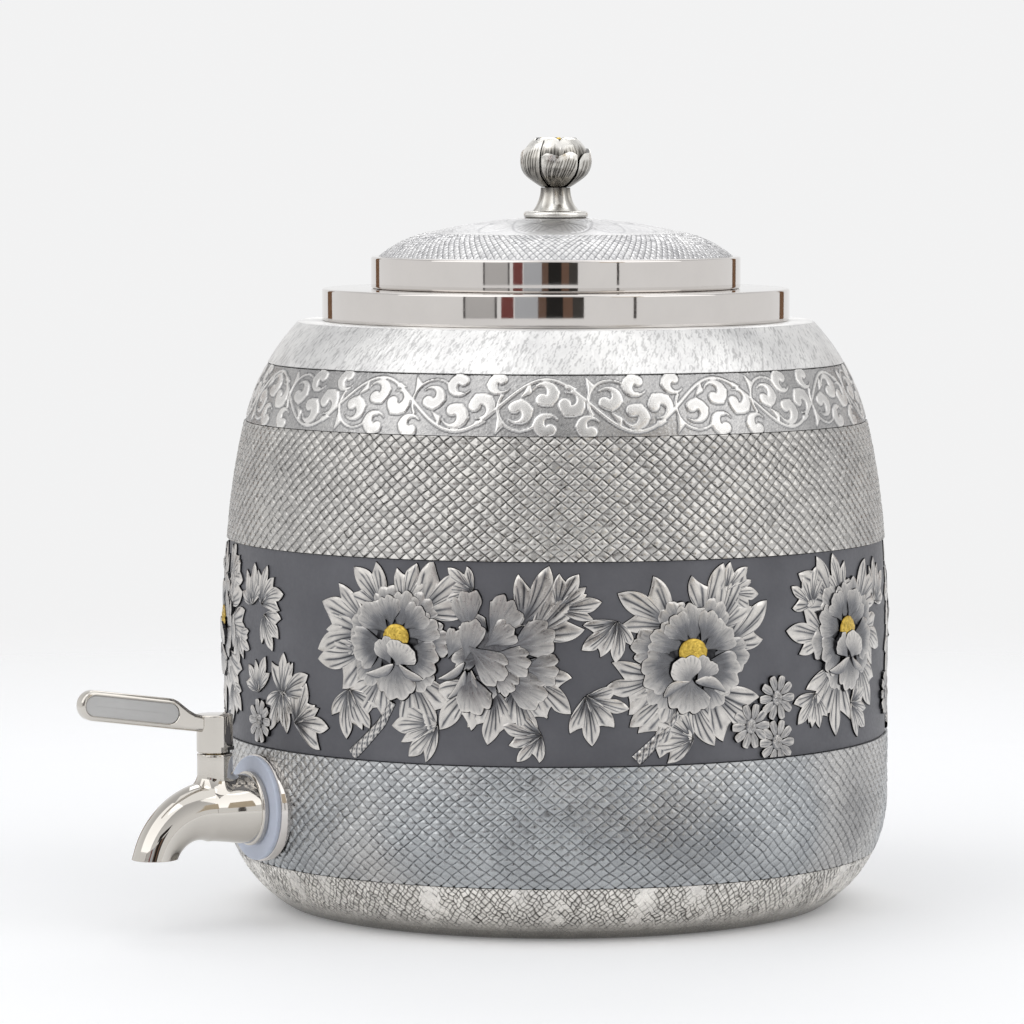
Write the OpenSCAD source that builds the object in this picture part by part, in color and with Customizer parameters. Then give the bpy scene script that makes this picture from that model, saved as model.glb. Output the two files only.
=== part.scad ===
/* [Barrel] */
// Greatest outside diameter of the barrel
belly_d = 222; // [190:1:260]
// Thickness of the sheet the barrel is made of
wall = 2.5; // [1.5:0.1:3.5]
// Thickness of the floor
floor_t = 3; // [2:0.1:5]
// Radius of the rounded foot
foot_curve_r = 42; // [40:0.5:50]
// Height of the rounded foot
foot_h = 36.5; // [30:0.5:38]
// Height at which the wall starts to lean in
lean_h = 85; // [75:0.5:95]
// Lean of the wall at the top of the frieze
belly_lean = 4; // [3:0.1:5]
// Lean of the wall at the top of the upper band
waist_lean = 13.3; // [11:0.1:16]
// Lean of the wall at the shoulder edge
shoulder_lean = 43.7; // [38:0.1:48]

/* [Bands] */
// Height of the base pan
base_pan_h = 18.5; // [16:0.1:21]
// Height of the lower band
lower_band_h = 39.2; // [36:0.1:43]
// Height of the frieze ring
frieze_h = 64.5; // [56:0.5:70]
// Height of the upper band
upper_band_h = 39; // [34:0.1:44]
// Height of the scroll band
scroll_h = 19.3; // [16:0.1:22]
// Height of the shoulder ring
shoulder_h = 13.7; // [11:0.1:16]
// Depth of the frieze ground below the bands
frieze_recess = 0.9; // [0.4:0.1:1.2]

/* [Neck and lid] */
// Width of the flat ledge between shoulder edge and collar
shoulder_ledge = 8; // [6:0.5:10]
// Height of the neck collar
collar_h = 10.7; // [9:0.1:13]
// Width of the collar ledge around the lid
collar_ledge = 16.3; // [14:0.1:19]
// Width of the land that the lid rests on
lid_land = 5; // [4:0.1:7]
// Height of the lid rim
rim_h = 10.6; // [9:0.1:13]
// Inset of the dome edge from the rim
dome_inset = 2.6; // [2.2:0.1:4]
// Width of the steep edge of the dome
dome_edge_w = 14.5; // [11:0.5:18]
// Radius of the dome crown
dome_crown_r = 180; // [150:1:220]
// Slope of the dome at its edge
dome_edge_lean = 40; // [34:0.5:46]
// Sheet thickness of collar and lid
lid_wall = 2; // [1.4:0.1:2.6]
// Depth of the lid skirt below the collar top
skirt_depth = 9; // [6:0.5:12]
// Radial clearance between lid skirt and mouth
skirt_clear = 0.4; // [0.3:0.05:0.8]
// Rounding of the polished rings
ring_round = 0.8; // [0.6:0.1:1.9]

/* [Knob] */
// Radius of the knob flange
knob_flange_r = 10.8; // [9.5:0.1:13]
// Thickness of the knob flange
knob_flange_t = 2.3; // [1.6:0.1:3.2]
// Radius of the knob stem at its foot
knob_foot_r = 7.8; // [6.5:0.1:9]
// Radius of the knob stem at its waist
knob_waist_r = 5; // [4:0.1:6]
// Height of the knob stem
knob_stem_h = 7.8; // [7:0.1:11]
// Greatest radius of the bud
bud_r = 12.2; // [11:0.1:14]
// Height of the bud
bud_h = 17.4; // [15:0.1:19]
// Number of outer petals on the bud
bud_petals = 5; // [4:1:7]
// Radius of the knob screw
knob_screw_r = 2; // [1.5:0.05:2.4]

/* [Tap] */
// Margin of the lower band above and below the tap boss
boss_margin = 2.2; // [0.5:0.1:3]
// Stand-off of the boss face from the belly
boss_off = 2.1; // [1:0.1:2.5]
// Thickness of the outer gasket
gasket_t = 1.5; // [1.2:0.1:3]
// Step of the gasket edge inside the boss edge
gasket_step = 0.4; // [0.2:0.1:2]
// Radius of the threaded shank
shank_r = 8; // [7.4:0.1:8.6]
// Radius of the waterway in the shank
water_r = 5; // [4.4:0.1:5.4]
// Radial clearance around the shank
shank_clear = 0.2; // [0.1:0.05:0.5]
// Length of the shank behind the flange
shank_len = 24; // [22:0.5:28]
// Thickness of the backing washer
washer_t = 1.2; // [0.8:0.1:2]
// Thickness of the lock nut
nut_t = 6; // [5:0.1:7]
// Radius of the rear flange of the tap
flange_r = 12.1; // [11.8:0.1:13]
// Thickness of the rear flange of the tap
flange_t = 2.4; // [1.8:0.1:3]
// Radius of the tap body behind the neck
horn_back_r = 11.4; // [11:0.1:11.7]
// Radius of the tap body at the bend
horn_bend_r = 9.8; // [9.4:0.1:10.4]
// Outside radius of the spout outlet
outlet_r = 7.2; // [6.6:0.1:7.8]
// Radius of the spout bore
spout_bore_r = 4.8; // [4.2:0.1:5.2]
// Distance of the stem axis from the gasket face
stem_off = 13.6; // [13:0.1:15]
// Distance of the bend from the stem axis
bend_off = 3.5; // [3:0.1:5]
// Bend radius of the spout
bend_r = 18.8; // [17.5:0.1:22]
// Bend angle of the spout
bend_angle = 72; // [68:1:76]
// Depth of the outlet below the tap axis
outlet_drop = 14.2; // [13.4:0.1:14.6]

/* [Valve and handle] */
// Radius of the valve plug
plug_r = 4.1; // [3.8:0.05:4.3]
// Radial clearance of the valve plug
plug_clear = 0.06; // [0.03:0.01:0.1]
// Radius of the cross bore in the plug
cross_r = 3; // [2.5:0.1:3.2]
// Outside radius of the valve neck
neck_r = 5.8; // [5.7:0.05:6.2]
// Height of the neck top above the tap axis
neck_h = 18.7; // [17.5:0.1:20]
// Radius of the valve stem
stem_r = 2.9; // [2.6:0.05:3]
// Gap between neck and handle hub
hub_gap = 0.4; // [0.3:0.05:0.8]
// Height of the handle hub
hub_h = 12.3; // [11:0.1:14]
// Outside radius of the handle hub
hub_r = 5.9; // [5.8:0.05:6.4]
// Length of the lever from the stem axis
lever_len = 49; // [42:0.5:60]
// Height of the lever blade
blade_h = 9.8; // [8.5:0.1:11]
// Thickness of the lever blade
blade_t = 5; // [4:0.1:6]
// Length of the lever blade
blade_len = 37; // [34:0.5:38]
// Height of the lever where it joins the hub
lever_root_h = 5.4; // [4.6:0.1:6.4]
// Upward slope of the lever
lever_slope = 8.5; // [6:0.5:12]
// Margin of metal around the inlay
inlay_margin = 1.5; // [1.1:0.1:2.2]
// Thickness of the inlay
inlay_t = 0.6; // [0.4:0.05:0.9]
// Depth of the inlay face below the blade
inlay_sink = 0.35; // [0.2:0.05:0.5]
// Turn of the handle between its stops
turn_angle = 90; // [80:1:92]

/* [Relief] */
// Size of the large blossoms
blossom_r = 19; // [15:0.5:20]
// Size of the small blossoms
daisy_r = 7.5; // [6:0.5:9]
// Height of the relief above the frieze ground
relief_h = 2; // [1.4:0.1:2.4]
// Length of the leaves
leaf_len = 21; // [15:0.5:24]
// Solder gap under applied pieces
solder_gap = 0.05; // [0.03:0.01:0.1]

/* [Hidden] */
$fn = 96;

belly_r = belly_d / 2;
far = belly_d;

// seams between the rings, from the bottom up
seam_lower = base_pan_h + lower_band_h;
seam_frieze = seam_lower + frieze_h;
seam_upper = seam_frieze + upper_band_h;
seam_scroll = seam_upper + scroll_h;
shoulder_z = seam_scroll + shoulder_h;
frieze_mid = (seam_lower + seam_frieze) / 2;

// wall curves, each running on from the one below it
belly_curve_r = (seam_frieze - lean_h) / sin(belly_lean);
waist_curve_r = upper_band_h / (sin(waist_lean) - sin(belly_lean));
shoulder_curve_r = (scroll_h + shoulder_h) / (sin(shoulder_lean) - sin(waist_lean));
belly_end_r = belly_r - belly_curve_r * (1 - cos(belly_lean));
waist_end_r = belly_end_r - waist_curve_r * (cos(belly_lean) - cos(waist_lean));
shoulder_r = waist_end_r - shoulder_curve_r * (cos(waist_lean) - cos(shoulder_lean));
foot_c = [belly_r - foot_curve_r, foot_h];
belly_c = [belly_r - belly_curve_r, lean_h];
waist_c = [belly_end_r - waist_curve_r * cos(belly_lean), seam_frieze - waist_curve_r * sin(belly_lean)];
shoulder_c = [waist_end_r - shoulder_curve_r * cos(waist_lean),
    seam_upper - shoulder_curve_r * sin(waist_lean)];

// neck and lid
collar_r = shoulder_r - shoulder_ledge;
collar_top = shoulder_z + collar_h;
lid_r = collar_r - collar_ledge;
mouth_r = lid_r - lid_land;
skirt_r = mouth_r - skirt_clear;
rim_top = collar_top + rim_h;
dome_r = lid_r - dome_inset;
dome_break_r = dome_r - dome_edge_w;
dome_break_lean = asin(dome_break_r / dome_crown_r);
dome_edge_curve = dome_edge_w / (sin(dome_edge_lean) - sin(dome_break_lean));
dome_break_z = rim_top + dome_edge_curve * (cos(dome_break_lean) - cos(dome_edge_lean));
dome_top = dome_break_z + dome_crown_r * (1 - cos(dome_break_lean));
knob_seat_z = dome_top - dome_crown_r + sqrt(pow(dome_crown_r, 2) - pow(knob_flange_r, 2));
pad_r = knob_flange_r - 2;
pad_z = knob_seat_z - lid_wall - 0.6;
washer_r = 3 * knob_screw_r;
screw_hole_r = knob_screw_r + 0.2;
stem_z = knob_seat_z + knob_flange_t;
bud_z = stem_z + knob_stem_h;
bud_c = bud_z + bud_h / 2;
petal_r = bud_r * sin(180 / bud_petals - 4);

// tap, along the local x axis from the barrel axis outward
tap_h = base_pan_h + lower_band_h / 2;
boss_r = lower_band_h / 2 - boss_margin;
boss_face = belly_r + boss_off;
tap_face = boss_face + gasket_t;
stem_x = tap_face + stem_off;
bend_x = stem_x + bend_off;
gasket_r = boss_r - gasket_step;
hole_r = shank_r + shank_clear;
inner_gasket_r = gasket_r - 2.2;
inner_flat = belly_r - wall - 4;
washer_face = inner_flat - washer_t;
nut_face = washer_face - nut_t;
nut_flat = 2 * shank_r + 7;
shank_end = tap_face - shank_len;
chamber_r = plug_r + plug_clear;
chamber_floor = -(horn_bend_r - 2.3);
plug_low = chamber_floor + 0.2;
port_start = stem_x - chamber_r - 2.4;
port_end = stem_x + chamber_r + 0.8;
clip_t = 0.8;
clip_z = neck_h - 3;
plug_top = clip_z - 0.1;
groove_r = plug_r - 0.9;
ring_section = 0.42;
ring_mid = groove_r + 0.04 + ring_section;
hub_z = neck_h + hub_gap;
hub_top = hub_z + hub_h;
pin_r = 0.5;
pin_at = (chamber_r + neck_r) / 2;
pin_depth = 1.8;
pin_up = 1.6;
slot_play = 1.5;
pin_span = asin(pin_r / pin_at) + slot_play;
tip_r = blade_h / 2;
lever_z = hub_top - lever_root_h + tip_r / cos(lever_slope) - hub_r * tan(lever_slope);
pocket_r = tip_r - inlay_margin;
inlay_r = pocket_r - 0.1;
screw_z = hub_z + 0.45 * hub_h;

// radius of the barrel wall at a height
function arc_r(c, r, z) = c[0] + sqrt(pow(r, 2) - pow(z - c[1], 2));
function wall_r(z) = z < lean_h ? belly_r : arc_r(belly_c, belly_curve_r, z);

// radius of the tap body along its bend, from 0 to 1
function horn_r(t) = horn_bend_r + (outlet_r - horn_bend_r) * (1 - pow(1 - t, 2));

module strip(low, high) {
    translate([0, low]) square([far, high - low]);
}

// half section of everything inside one wall curve, between two heights
module curve_part(c, r, low, high) {
    intersection() {
        union() {
            translate(c) circle(r, $fn = 360);
            if (c[0] > 0) translate([0, c[1] - r]) square([c[0], 2 * r]);
        }
        strip(low, high);
    }
}

// half section of the barrel, drawn in from the outside by the inset
module barrel_half(inset, low, high) {
    if (low < foot_h) curve_part(foot_c, foot_curve_r - inset, low, min(high, foot_h));
    if (low < lean_h && high > foot_h)
        translate([0, max(low, foot_h)]) square([belly_r - inset, min(high, lean_h) - max(low, foot_h)]);
    if (low < seam_frieze && high > lean_h)
        curve_part(belly_c, belly_curve_r - inset, max(low, lean_h), min(high, seam_frieze));
    if (low < seam_upper && high > seam_frieze)
        curve_part(waist_c, waist_curve_r - inset, max(low, seam_frieze), min(high, seam_upper));
    if (high > seam_upper) curve_part(shoulder_c, shoulder_curve_r - inset, max(low, seam_upper), high);
}

module barrel_solid(inset, low, high) {
    rotate_extrude($fn = 720) barrel_half(inset, low, high);
}

// one ring of the wall between two seams
module wall_ring(inset, low, high) {
    rotate_extrude($fn = 180) difference() {
        barrel_half(inset, low, high);
        barrel_half(wall, low, high);
    }
}

module at_tap() {
    translate([0, 0, tap_h]) rotate([0, 0, -90]) children();
}

module at_stem() {
    at_tap() translate([stem_x, 0, 0]) children();
}

// cylinder along the local x axis between two distances
module rod(r, from, to) {
    translate([from, 0, 0]) rotate([0, 90, 0]) cylinder(r = r, h = to - from);
}

module base_pan() {
    color("#b9bcc2") rotate_extrude() difference() {
        barrel_half(0, 0, base_pan_h);
        barrel_half(wall, floor_t, base_pan_h + 1);
    }
}

module lower_band() {
    color("#a9adb5") difference() {
        wall_ring(0, base_pan_h, seam_lower);
        at_tap() rod(hole_r, belly_r - 15, belly_r + 5);
    }
}

module frieze_ring() {
    color("#64656b") wall_ring(frieze_recess, seam_lower, seam_frieze);
}

module upper_band() {
    color("#a9adb5") wall_ring(0, seam_frieze, seam_upper);
}

module scroll_band() {
    color("#9c9ea4") wall_ring(0, seam_upper, seam_scroll);
}

module shoulder_ring() {
    color("#c4c6ca") rotate_extrude() difference() {
        union() {
            difference() {
                barrel_half(0, seam_scroll, shoulder_z);
                barrel_half(wall, seam_scroll, shoulder_z);
            }
            translate([mouth_r + lid_wall + solder_gap, shoulder_z - wall])
                square([shoulder_r - mouth_r - lid_wall - 1, wall]);
        }
    }
}

// upright half section with its outer corners rounded
module rounded_band(r, low, high) {
    square_h = high - low;
    difference() {
        translate([0, low]) square([r, square_h]);
        translate([r - ring_round, high - ring_round]) difference() {
            square(ring_round + 1);
            circle(ring_round, $fn = 48);
        }
        translate([r - ring_round, low + ring_round]) mirror([0, 1]) difference() {
            square(ring_round + 1);
            circle(ring_round, $fn = 48);
        }
    }
}

module neck_collar() {
    color("#d8d3cc") rotate_extrude() difference() {
        union() {
            rounded_band(collar_r, shoulder_z, collar_top);
            translate([0, shoulder_z - 2 * wall]) square([mouth_r + lid_wall, 2 * wall + 1]);
        }
        translate([0, shoulder_z - 3 * wall]) square([mouth_r, collar_h + 4 * wall]);
        translate([mouth_r + lid_wall, shoulder_z - wall])
            square([collar_r - mouth_r - 2 * lid_wall, collar_h + wall - lid_wall]);
    }
}

// prism through the wall at a turn around the barrel and a height
module on_frieze(turn, z, tilt) {
    rotate([0, 0, turn]) translate([wall_r(z) - frieze_recess - 8, 0, z]) rotate([tilt, 0, 0])
        rotate([90, 0, 90]) linear_extrude(16) children();
}

// layer over the frieze ground between two heights above it
module layer(low, high) {
    rotate_extrude($fn = 720) difference() {
        barrel_half(frieze_recess - high, seam_lower + 0.4, seam_frieze - 0.4);
        barrel_half(frieze_recess - low, seam_lower, seam_frieze);
    }
}

// outline with round petals
module petals(count, size, petal, spin) {
    for (i = [0 : count - 1])
        rotate(spin + 360 * i / count) translate([size - petal, 0]) circle(petal, $fn = 48);
    circle(size - 0.8 * petal, $fn = 48);
}

// turn around the barrel, height above the frieze middle as a share of its height, and size share
blossoms = [[-112, 0.08, 0.95], [-58, 0.1, 0.95], [-40, 0.05, 0.95], [-8, 0.03, 1], [27, 0.08, 1],
    [65, 0.14, 0.9], [102, -0.02, 1], [140, 0.14, 0.9], [174, -0.02, 1], [206, 0.12, 0.95],
    [230, -0.1, 0.95]];
// turn and height share of the small blossoms
daisies = [[-121, 0.36], [-91, -0.37], [3, -0.33], [8.5, -0.2], [8.5, -0.42], [48, -0.28], [121, -0.25],
    [156, -0.25], [190, 0.3], [223, 0.3]];
// turn, height share, tilt and size share of the leaves
leaves = [[-119, -0.36, 75, 0.9], [-104, 0.37, -60, 0.9], [-103, -0.3, 30, 0.9], [-100, -0.02, 15, 0.8],
    [-95, 0.3, 12, 0.85], [-89, 0.3, -35, 0.9], [-88, 0.1, 215, 0.8], [-92, -0.14, 8, 0.8],
    [-82, -0.13, -28, 0.95], [-84.5, -0.3, 168, 0.95], [-77, -0.3, -62, 1], [-67, -0.26, 185, 1],
    [-54, -0.34, -70, 1],
    [-47, 0.38, 70, 0.7], [-28, 0.32, -60, 0.9], [-24, -0.24, 35, 1], [-22, 0.12, -20, 0.9],
    [-36, -0.37, -70, 0.8], [1, 0.36, -75, 0.8], [-11, -0.36, 80, 0.9], [17, -0.28, -20, 0.8],
    [16, 0.32, 25, 0.8], [32, -0.3, 75, 0.9], [42, 0.3, -35, 1], [53, -0.1, -30, 1],
    [74, -0.24, 45, 1], [84, 0.3, -60, 0.9], [95, -0.36, 85, 0.8], [121, 0.12, 30, 1],
    [134, -0.22, -35, 1], [146, -0.25, 60, 0.9], [158, 0.3, -45, 0.9], [168, -0.36, 75, 0.8],
    [184, -0.35, -80, 0.9], [193, -0.1, 35, 1], [212, -0.24, -40, 1], [218, 0, 15, 0.8]];

function share_z(p) = frieze_mid + p[1] * frieze_h;

module frieze_blossoms() {
    color("#c9cad0") {
        intersection() {
            layer(solder_gap, 0.55 * relief_h);
            union() {
                for (b = blossoms)
                    on_frieze(b[0], share_z(b), 0) petals(8, blossom_r * b[2], 0.34 * blossom_r * b[2], 0);
                for (d = daisies) on_frieze(d[0], share_z(d), 0) petals(7, daisy_r, 0.3 * daisy_r, 0);
            }
        }
        intersection() {
            layer(0.3 * relief_h, relief_h);
            for (b = blossoms)
                on_frieze(b[0], share_z(b), 0)
                    petals(6, 0.62 * blossom_r * b[2], 0.26 * blossom_r * b[2], 20);
        }
    }
}

module leaf_outline(len) {
    turn_r = 0.9 * len;
    intersection() {
        translate([turn_r - 0.19 * len, 0]) circle(turn_r, $fn = 72);
        translate([0.19 * len - turn_r, 0]) circle(turn_r, $fn = 72);
    }
}

module frieze_leaves() {
    color("#bfc1c7") difference() {
        intersection() {
            layer(solder_gap, 0.45 * relief_h);
            for (l = leaves) on_frieze(l[0], share_z(l), l[2]) leaf_outline(leaf_len * l[3]);
        }
        for (b = blossoms) on_frieze(b[0], share_z(b), 0) circle(blossom_r * b[2] + 0.3);
        for (d = daisies) on_frieze(d[0], share_z(d), 0) circle(daisy_r + 0.3);
    }
}

module frieze_stamens() {
    color("#c8a63c") {
        intersection() {
            layer(relief_h + solder_gap, 1.4 * relief_h);
            for (b = blossoms) on_frieze(b[0], share_z(b), 0) circle(0.19 * blossom_r * b[2]);
        }
        intersection() {
            layer(0.55 * relief_h + solder_gap, relief_h);
            for (d = daisies) on_frieze(d[0], share_z(d), 0) circle(0.3 * daisy_r);
        }
    }
}

module tap_boss() {
    color("#d6d0c6") difference() {
        at_tap() rod(boss_r, belly_r - 12, boss_face);
        barrel_solid(-solder_gap, base_pan_h - 4, seam_lower + 4);
        at_tap() rod(hole_r, belly_r - 15, boss_face + 1);
    }
}

module outer_gasket() {
    color("#c3cad8") at_tap() difference() {
        rod(gasket_r, boss_face, tap_face);
        rod(hole_r, boss_face - 1, tap_face + 1);
    }
}

module inner_gasket() {
    color("#c3cad8") difference() {
        intersection() {
            at_tap() rod(inner_gasket_r, inner_flat, belly_r);
            barrel_solid(wall + solder_gap, floor_t, lean_h - 1);
        }
        at_tap() rod(hole_r, inner_flat - 1, belly_r + 1);
    }
}

module backing_washer() {
    color("#b8b8b4") at_tap() difference() {
        rod(inner_gasket_r - 1, washer_face, inner_flat);
        rod(hole_r, washer_face - 1, inner_flat + 1);
    }
}

module lock_nut() {
    color("#c4bca8") at_tap() difference() {
        translate([nut_face, 0, 0]) rotate([0, 90, 0]) linear_extrude(nut_t)
            circle(r = nut_flat / 2 / cos(30), $fn = 6);
        rod(shank_r + 0.08, nut_face - 1, washer_face + 1);
    }
}

// rings of points along the tap body: straight part first, then the bend, then a short straight end
horn_sides = 28;
horn_back_x = tap_face + flange_t / 2;
horn_steps = 9;
bend_end_x = bend_x + bend_r * sin(bend_angle);
bend_end_z = bend_r * (cos(bend_angle) - 1);
horn_rings = concat(
    [[horn_back_x, 0, horn_back_r, 0]],
    [for (i = [0 : horn_steps])
        let (a = bend_angle * i / horn_steps)
        [bend_x + bend_r * sin(a), bend_r * (cos(a) - 1), horn_r(i / horn_steps), a]],
    [[bend_end_x + 9 * cos(bend_angle), bend_end_z - 9 * sin(bend_angle), outlet_r, bend_angle]]);
horn_points = [for (g = horn_rings) for (k = [0 : horn_sides - 1])
    let (a = 360 * (k + 0.5) / horn_sides)
    [g[0] + g[2] * cos(a) * sin(g[3]), g[2] * sin(a), g[1] + g[2] * cos(a) * cos(g[3])]];
horn_faces = concat(
    [[for (k = [horn_sides - 1 : -1 : 0]) k]],
    [for (i = [0 : len(horn_rings) - 2]) for (k = [0 : horn_sides - 1])
        [i * horn_sides + k, i * horn_sides + (k + 1) % horn_sides, (i + 1) * horn_sides + k]],
    [for (i = [0 : len(horn_rings) - 2]) for (k = [0 : horn_sides - 1])
        [(i + 1) * horn_sides + k, i * horn_sides + (k + 1) % horn_sides,
            (i + 1) * horn_sides + (k + 1) % horn_sides]],
    [[for (k = [0 : horn_sides - 1]) (len(horn_rings) - 1) * horn_sides + k]]);

module horn() {
    difference() {
        polyhedron(horn_points, horn_faces);
        translate([bend_x - 2 * bend_r, -bend_r, -outlet_drop - 2 * bend_r])
            cube([4 * bend_r, 2 * bend_r, 2 * bend_r]);
    }
}

// waterway from the valve chamber round the bend and out, bored in three straight runs
module spout_way() {
    half = bend_angle / 2;
    run = bend_r * tan(half / 2);
    corner_x = bend_x + run;
    rod(spout_bore_r, port_end, corner_x + 2.2);
    translate([corner_x, 0, 0]) rotate([0, 90 + half, 0]) translate([0, 0, -1.4])
        cylinder(r = spout_bore_r - 0.1, h = 2 * run + 2.8);
    translate([corner_x + 2 * run * cos(half), 0, -2 * run * sin(half)]) rotate([0, 90 + bend_angle, 0])
        translate([0, 0, -1.6]) cylinder(r = spout_bore_r - 0.2, h = bend_r + 4);
}

module tap_body() {
    color("#d2ccc2") at_tap() difference() {
        union() {
            rod(flange_r, tap_face, tap_face + flange_t);
            rod(shank_r, shank_end, tap_face + 1);
            horn();
            translate([stem_x, 0, 0]) cylinder(r = neck_r, h = neck_h);
        }
        rod(water_r, shank_end - 1, port_start);
        rod(cross_r, port_start - 1, port_end + 1);
        spout_way();
        translate([stem_x, 0, chamber_floor]) cylinder(r = chamber_r, h = neck_h + 30);
        translate([stem_x, 0, clip_z]) cylinder(r = chamber_r + 0.5, h = clip_t + 0.1);
        translate([stem_x - pin_at, 0, neck_h - pin_depth]) cylinder(r = pin_r + 0.02, h = 5, $fn = 32);
    }
}

module stop_pin() {
    color("#4a4a4c") at_stem() {
        translate([-pin_at, 0, neck_h - pin_depth])
            cylinder(r = pin_r, h = pin_depth + hub_gap + pin_up, $fn = 32);
        translate([-hub_r - 0.9, -0.45, hub_z + 0.3]) cube([hub_r + 0.9 - pin_at, 0.9, pin_up - 0.3]);
    }
}

module retaining_ring() {
    color("#8f8f90") at_stem() translate([0, 0, clip_z]) difference() {
        cylinder(r = chamber_r + 0.45, h = clip_t);
        translate([0, 0, -1]) cylinder(r = stem_r + 0.15, h = clip_t + 2);
    }
}

module valve_plug() {
    color("#c9b98a") at_stem() difference() {
        union() {
            translate([0, 0, plug_low]) cylinder(r = plug_r, h = plug_top - plug_low);
            cylinder(r = stem_r, h = hub_top - 2.5);
        }
        rotate([90, 0, 0]) translate([0, 0, -10]) cylinder(r = cross_r, h = 20);
        for (z = [cross_r + 2, cross_r + 5.5])
            translate([0, 0, z]) difference() {
                cylinder(r = plug_r + 1, h = 1.1);
                translate([0, 0, -1]) cylinder(r = groove_r, h = 4);
            }
        translate([-stem_r - 1.1, -5, hub_z + 1]) cube([1.6, 10, hub_h]);
    }
}

module stem_o_rings() {
    color("#2a2a2c") at_stem() for (z = [cross_r + 2.55, cross_r + 6.05])
        translate([0, 0, z]) rotate_extrude() translate([ring_mid, 0]) circle(ring_section, $fn = 24);
}

// outline of the lever seen from its side, from the stem axis outward, before it is tilted
blade_x = lever_len - blade_len;
module lever_outline() {
    translate([lever_len - tip_r, 0]) circle(tip_r, $fn = 64);
    translate([blade_x + tip_r, -tip_r]) square([blade_len - 2 * tip_r, blade_h]);
    polygon([[0, -tip_r], [blade_x + tip_r + 0.1, -tip_r], [blade_x + tip_r + 0.1, tip_r],
        [blade_x + 3, tip_r - 0.7], [hub_r, lever_root_h - tip_r], [0, lever_root_h - tip_r]]);
}

module inlay_outline(r) {
    translate([lever_len - tip_r, 0]) circle(r, $fn = 64);
    translate([blade_x + tip_r + 0.5, 0]) circle(r, $fn = 64);
    translate([blade_x + tip_r + 0.5, -r]) square([blade_len - 2 * tip_r - 0.5, 2 * r]);
}

module on_lever() {
    translate([0, 0, lever_z]) rotate([0, -lever_slope, 0]) rotate([90, 0, 0]) children();
}

module tap_handle() {
    color("#d2ccc2") at_stem() difference() {
        union() {
            translate([0, 0, hub_z]) cylinder(r = hub_r, h = hub_h);
            difference() {
                on_lever() translate([0, 0, -blade_t / 2]) linear_extrude(blade_t) lever_outline();
                translate([-20, -10, hub_top]) cube([20 + hub_r, 20, 20]);
                translate([-20, -10, hub_z - 20]) cube([20 + hub_r, 20, 20]);
            }
        }
        translate([0, 0, hub_z - 1]) difference() {
            cylinder(r = stem_r + 0.06, h = hub_top - 2.3 - hub_z + 1);
            translate([-stem_r - 2.5, -5, 2.2]) cube([3 - 0.06, 10, hub_h]);
        }
        translate([0, 0, hub_z - 1]) rotate([0, 0, 180 - turn_angle - pin_span])
            rotate_extrude(angle = turn_angle + 2 * pin_span) translate([pin_at - pin_r - 0.2, 0])
                square([hub_r - pin_at + pin_r + 1.2, pin_up + 1.4]);
        on_lever() for (s = [-1, 1])
            translate([0, 0, s > 0 ? blade_t / 2 - inlay_t - inlay_sink : -blade_t / 2 - 1])
                linear_extrude(inlay_t + inlay_sink + 1) inlay_outline(pocket_r);
        translate([0, 0, screw_z]) rod(1.3, -hub_r - 1, -stem_r + 0.6);
    }
}

module handle_inlays() {
    color("#b2b2af") at_stem() on_lever() for (s = [-1, 1])
        translate([0, 0, s > 0 ? blade_t / 2 - inlay_t - inlay_sink : inlay_sink - blade_t / 2])
            linear_extrude(inlay_t) inlay_outline(inlay_r);
}

module set_screw() {
    color("#3c3c3e") at_stem() translate([0, 0, screw_z]) difference() {
        rod(1.25, -hub_r + 0.5, -stem_r + 0.45);
        translate([-hub_r, 0, 0]) rotate([0, 90, 0]) cylinder(r = 0.7, h = 1.6, $fn = 6);
    }
}

module lid_rim() {
    color("#d8d3cc") rotate_extrude($fn = 180) difference() {
        rounded_band(lid_r, collar_top, rim_top);
        translate([0, collar_top - 1]) square([skirt_r + solder_gap, rim_h + 2]);
    }
}

// half section of everything under the dome, drawn in by the inset
module dome_half(inset) {
    intersection() {
        translate([0, dome_top - dome_crown_r]) circle(dome_crown_r - inset, $fn = 360);
        translate([0, rim_top]) square([dome_break_r, dome_crown_r]);
    }
    intersection() {
        translate([dome_break_r - dome_edge_curve * sin(dome_break_lean),
            dome_break_z - dome_edge_curve * cos(dome_break_lean)])
            circle(dome_edge_curve - inset, $fn = 240);
        translate([dome_break_r - 0.01, rim_top]) square([dome_edge_w + 1, dome_crown_r]);
    }
}

module lid_dome() {
    color("#b7b8bc") rotate_extrude() difference() {
        union() {
            difference() {
                dome_half(0);
                translate([0, -0.01]) dome_half(lid_wall);
            }
            translate([0, pad_z]) square([pad_r, knob_seat_z - pad_z]);
        }
        translate([0, knob_seat_z]) square([knob_flange_r, 10]);
        translate([0, pad_z - 1]) square([screw_hole_r, 20]);
    }
}

module lid_skirt() {
    color("#a5a6a8") rotate_extrude($fn = 180) translate([skirt_r - lid_wall, collar_top - skirt_depth])
        square([lid_wall, skirt_depth + rim_h - 2.5]);
}

module knob_flange() {
    color("#d8d3cc") rotate_extrude() difference() {
        translate([0, knob_seat_z]) square([knob_flange_r - knob_flange_t / 2, knob_flange_t]);
        translate([0, knob_seat_z - 1]) square([screw_hole_r, 10]);
    }
    color("#d8d3cc") rotate_extrude() difference() {
        translate([knob_flange_r - knob_flange_t / 2, knob_seat_z + knob_flange_t / 2])
            circle(knob_flange_t / 2, $fn = 32);
        translate([knob_flange_r - 2 * knob_flange_t, knob_seat_z])
            square([1.5 * knob_flange_t, knob_flange_t]);
    }
}

// radius of the hollow side curve of the knob stem
side_r = (pow(knob_stem_h, 2) + pow(knob_foot_r - knob_waist_r, 2)) / (2 * (knob_foot_r - knob_waist_r));

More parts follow.
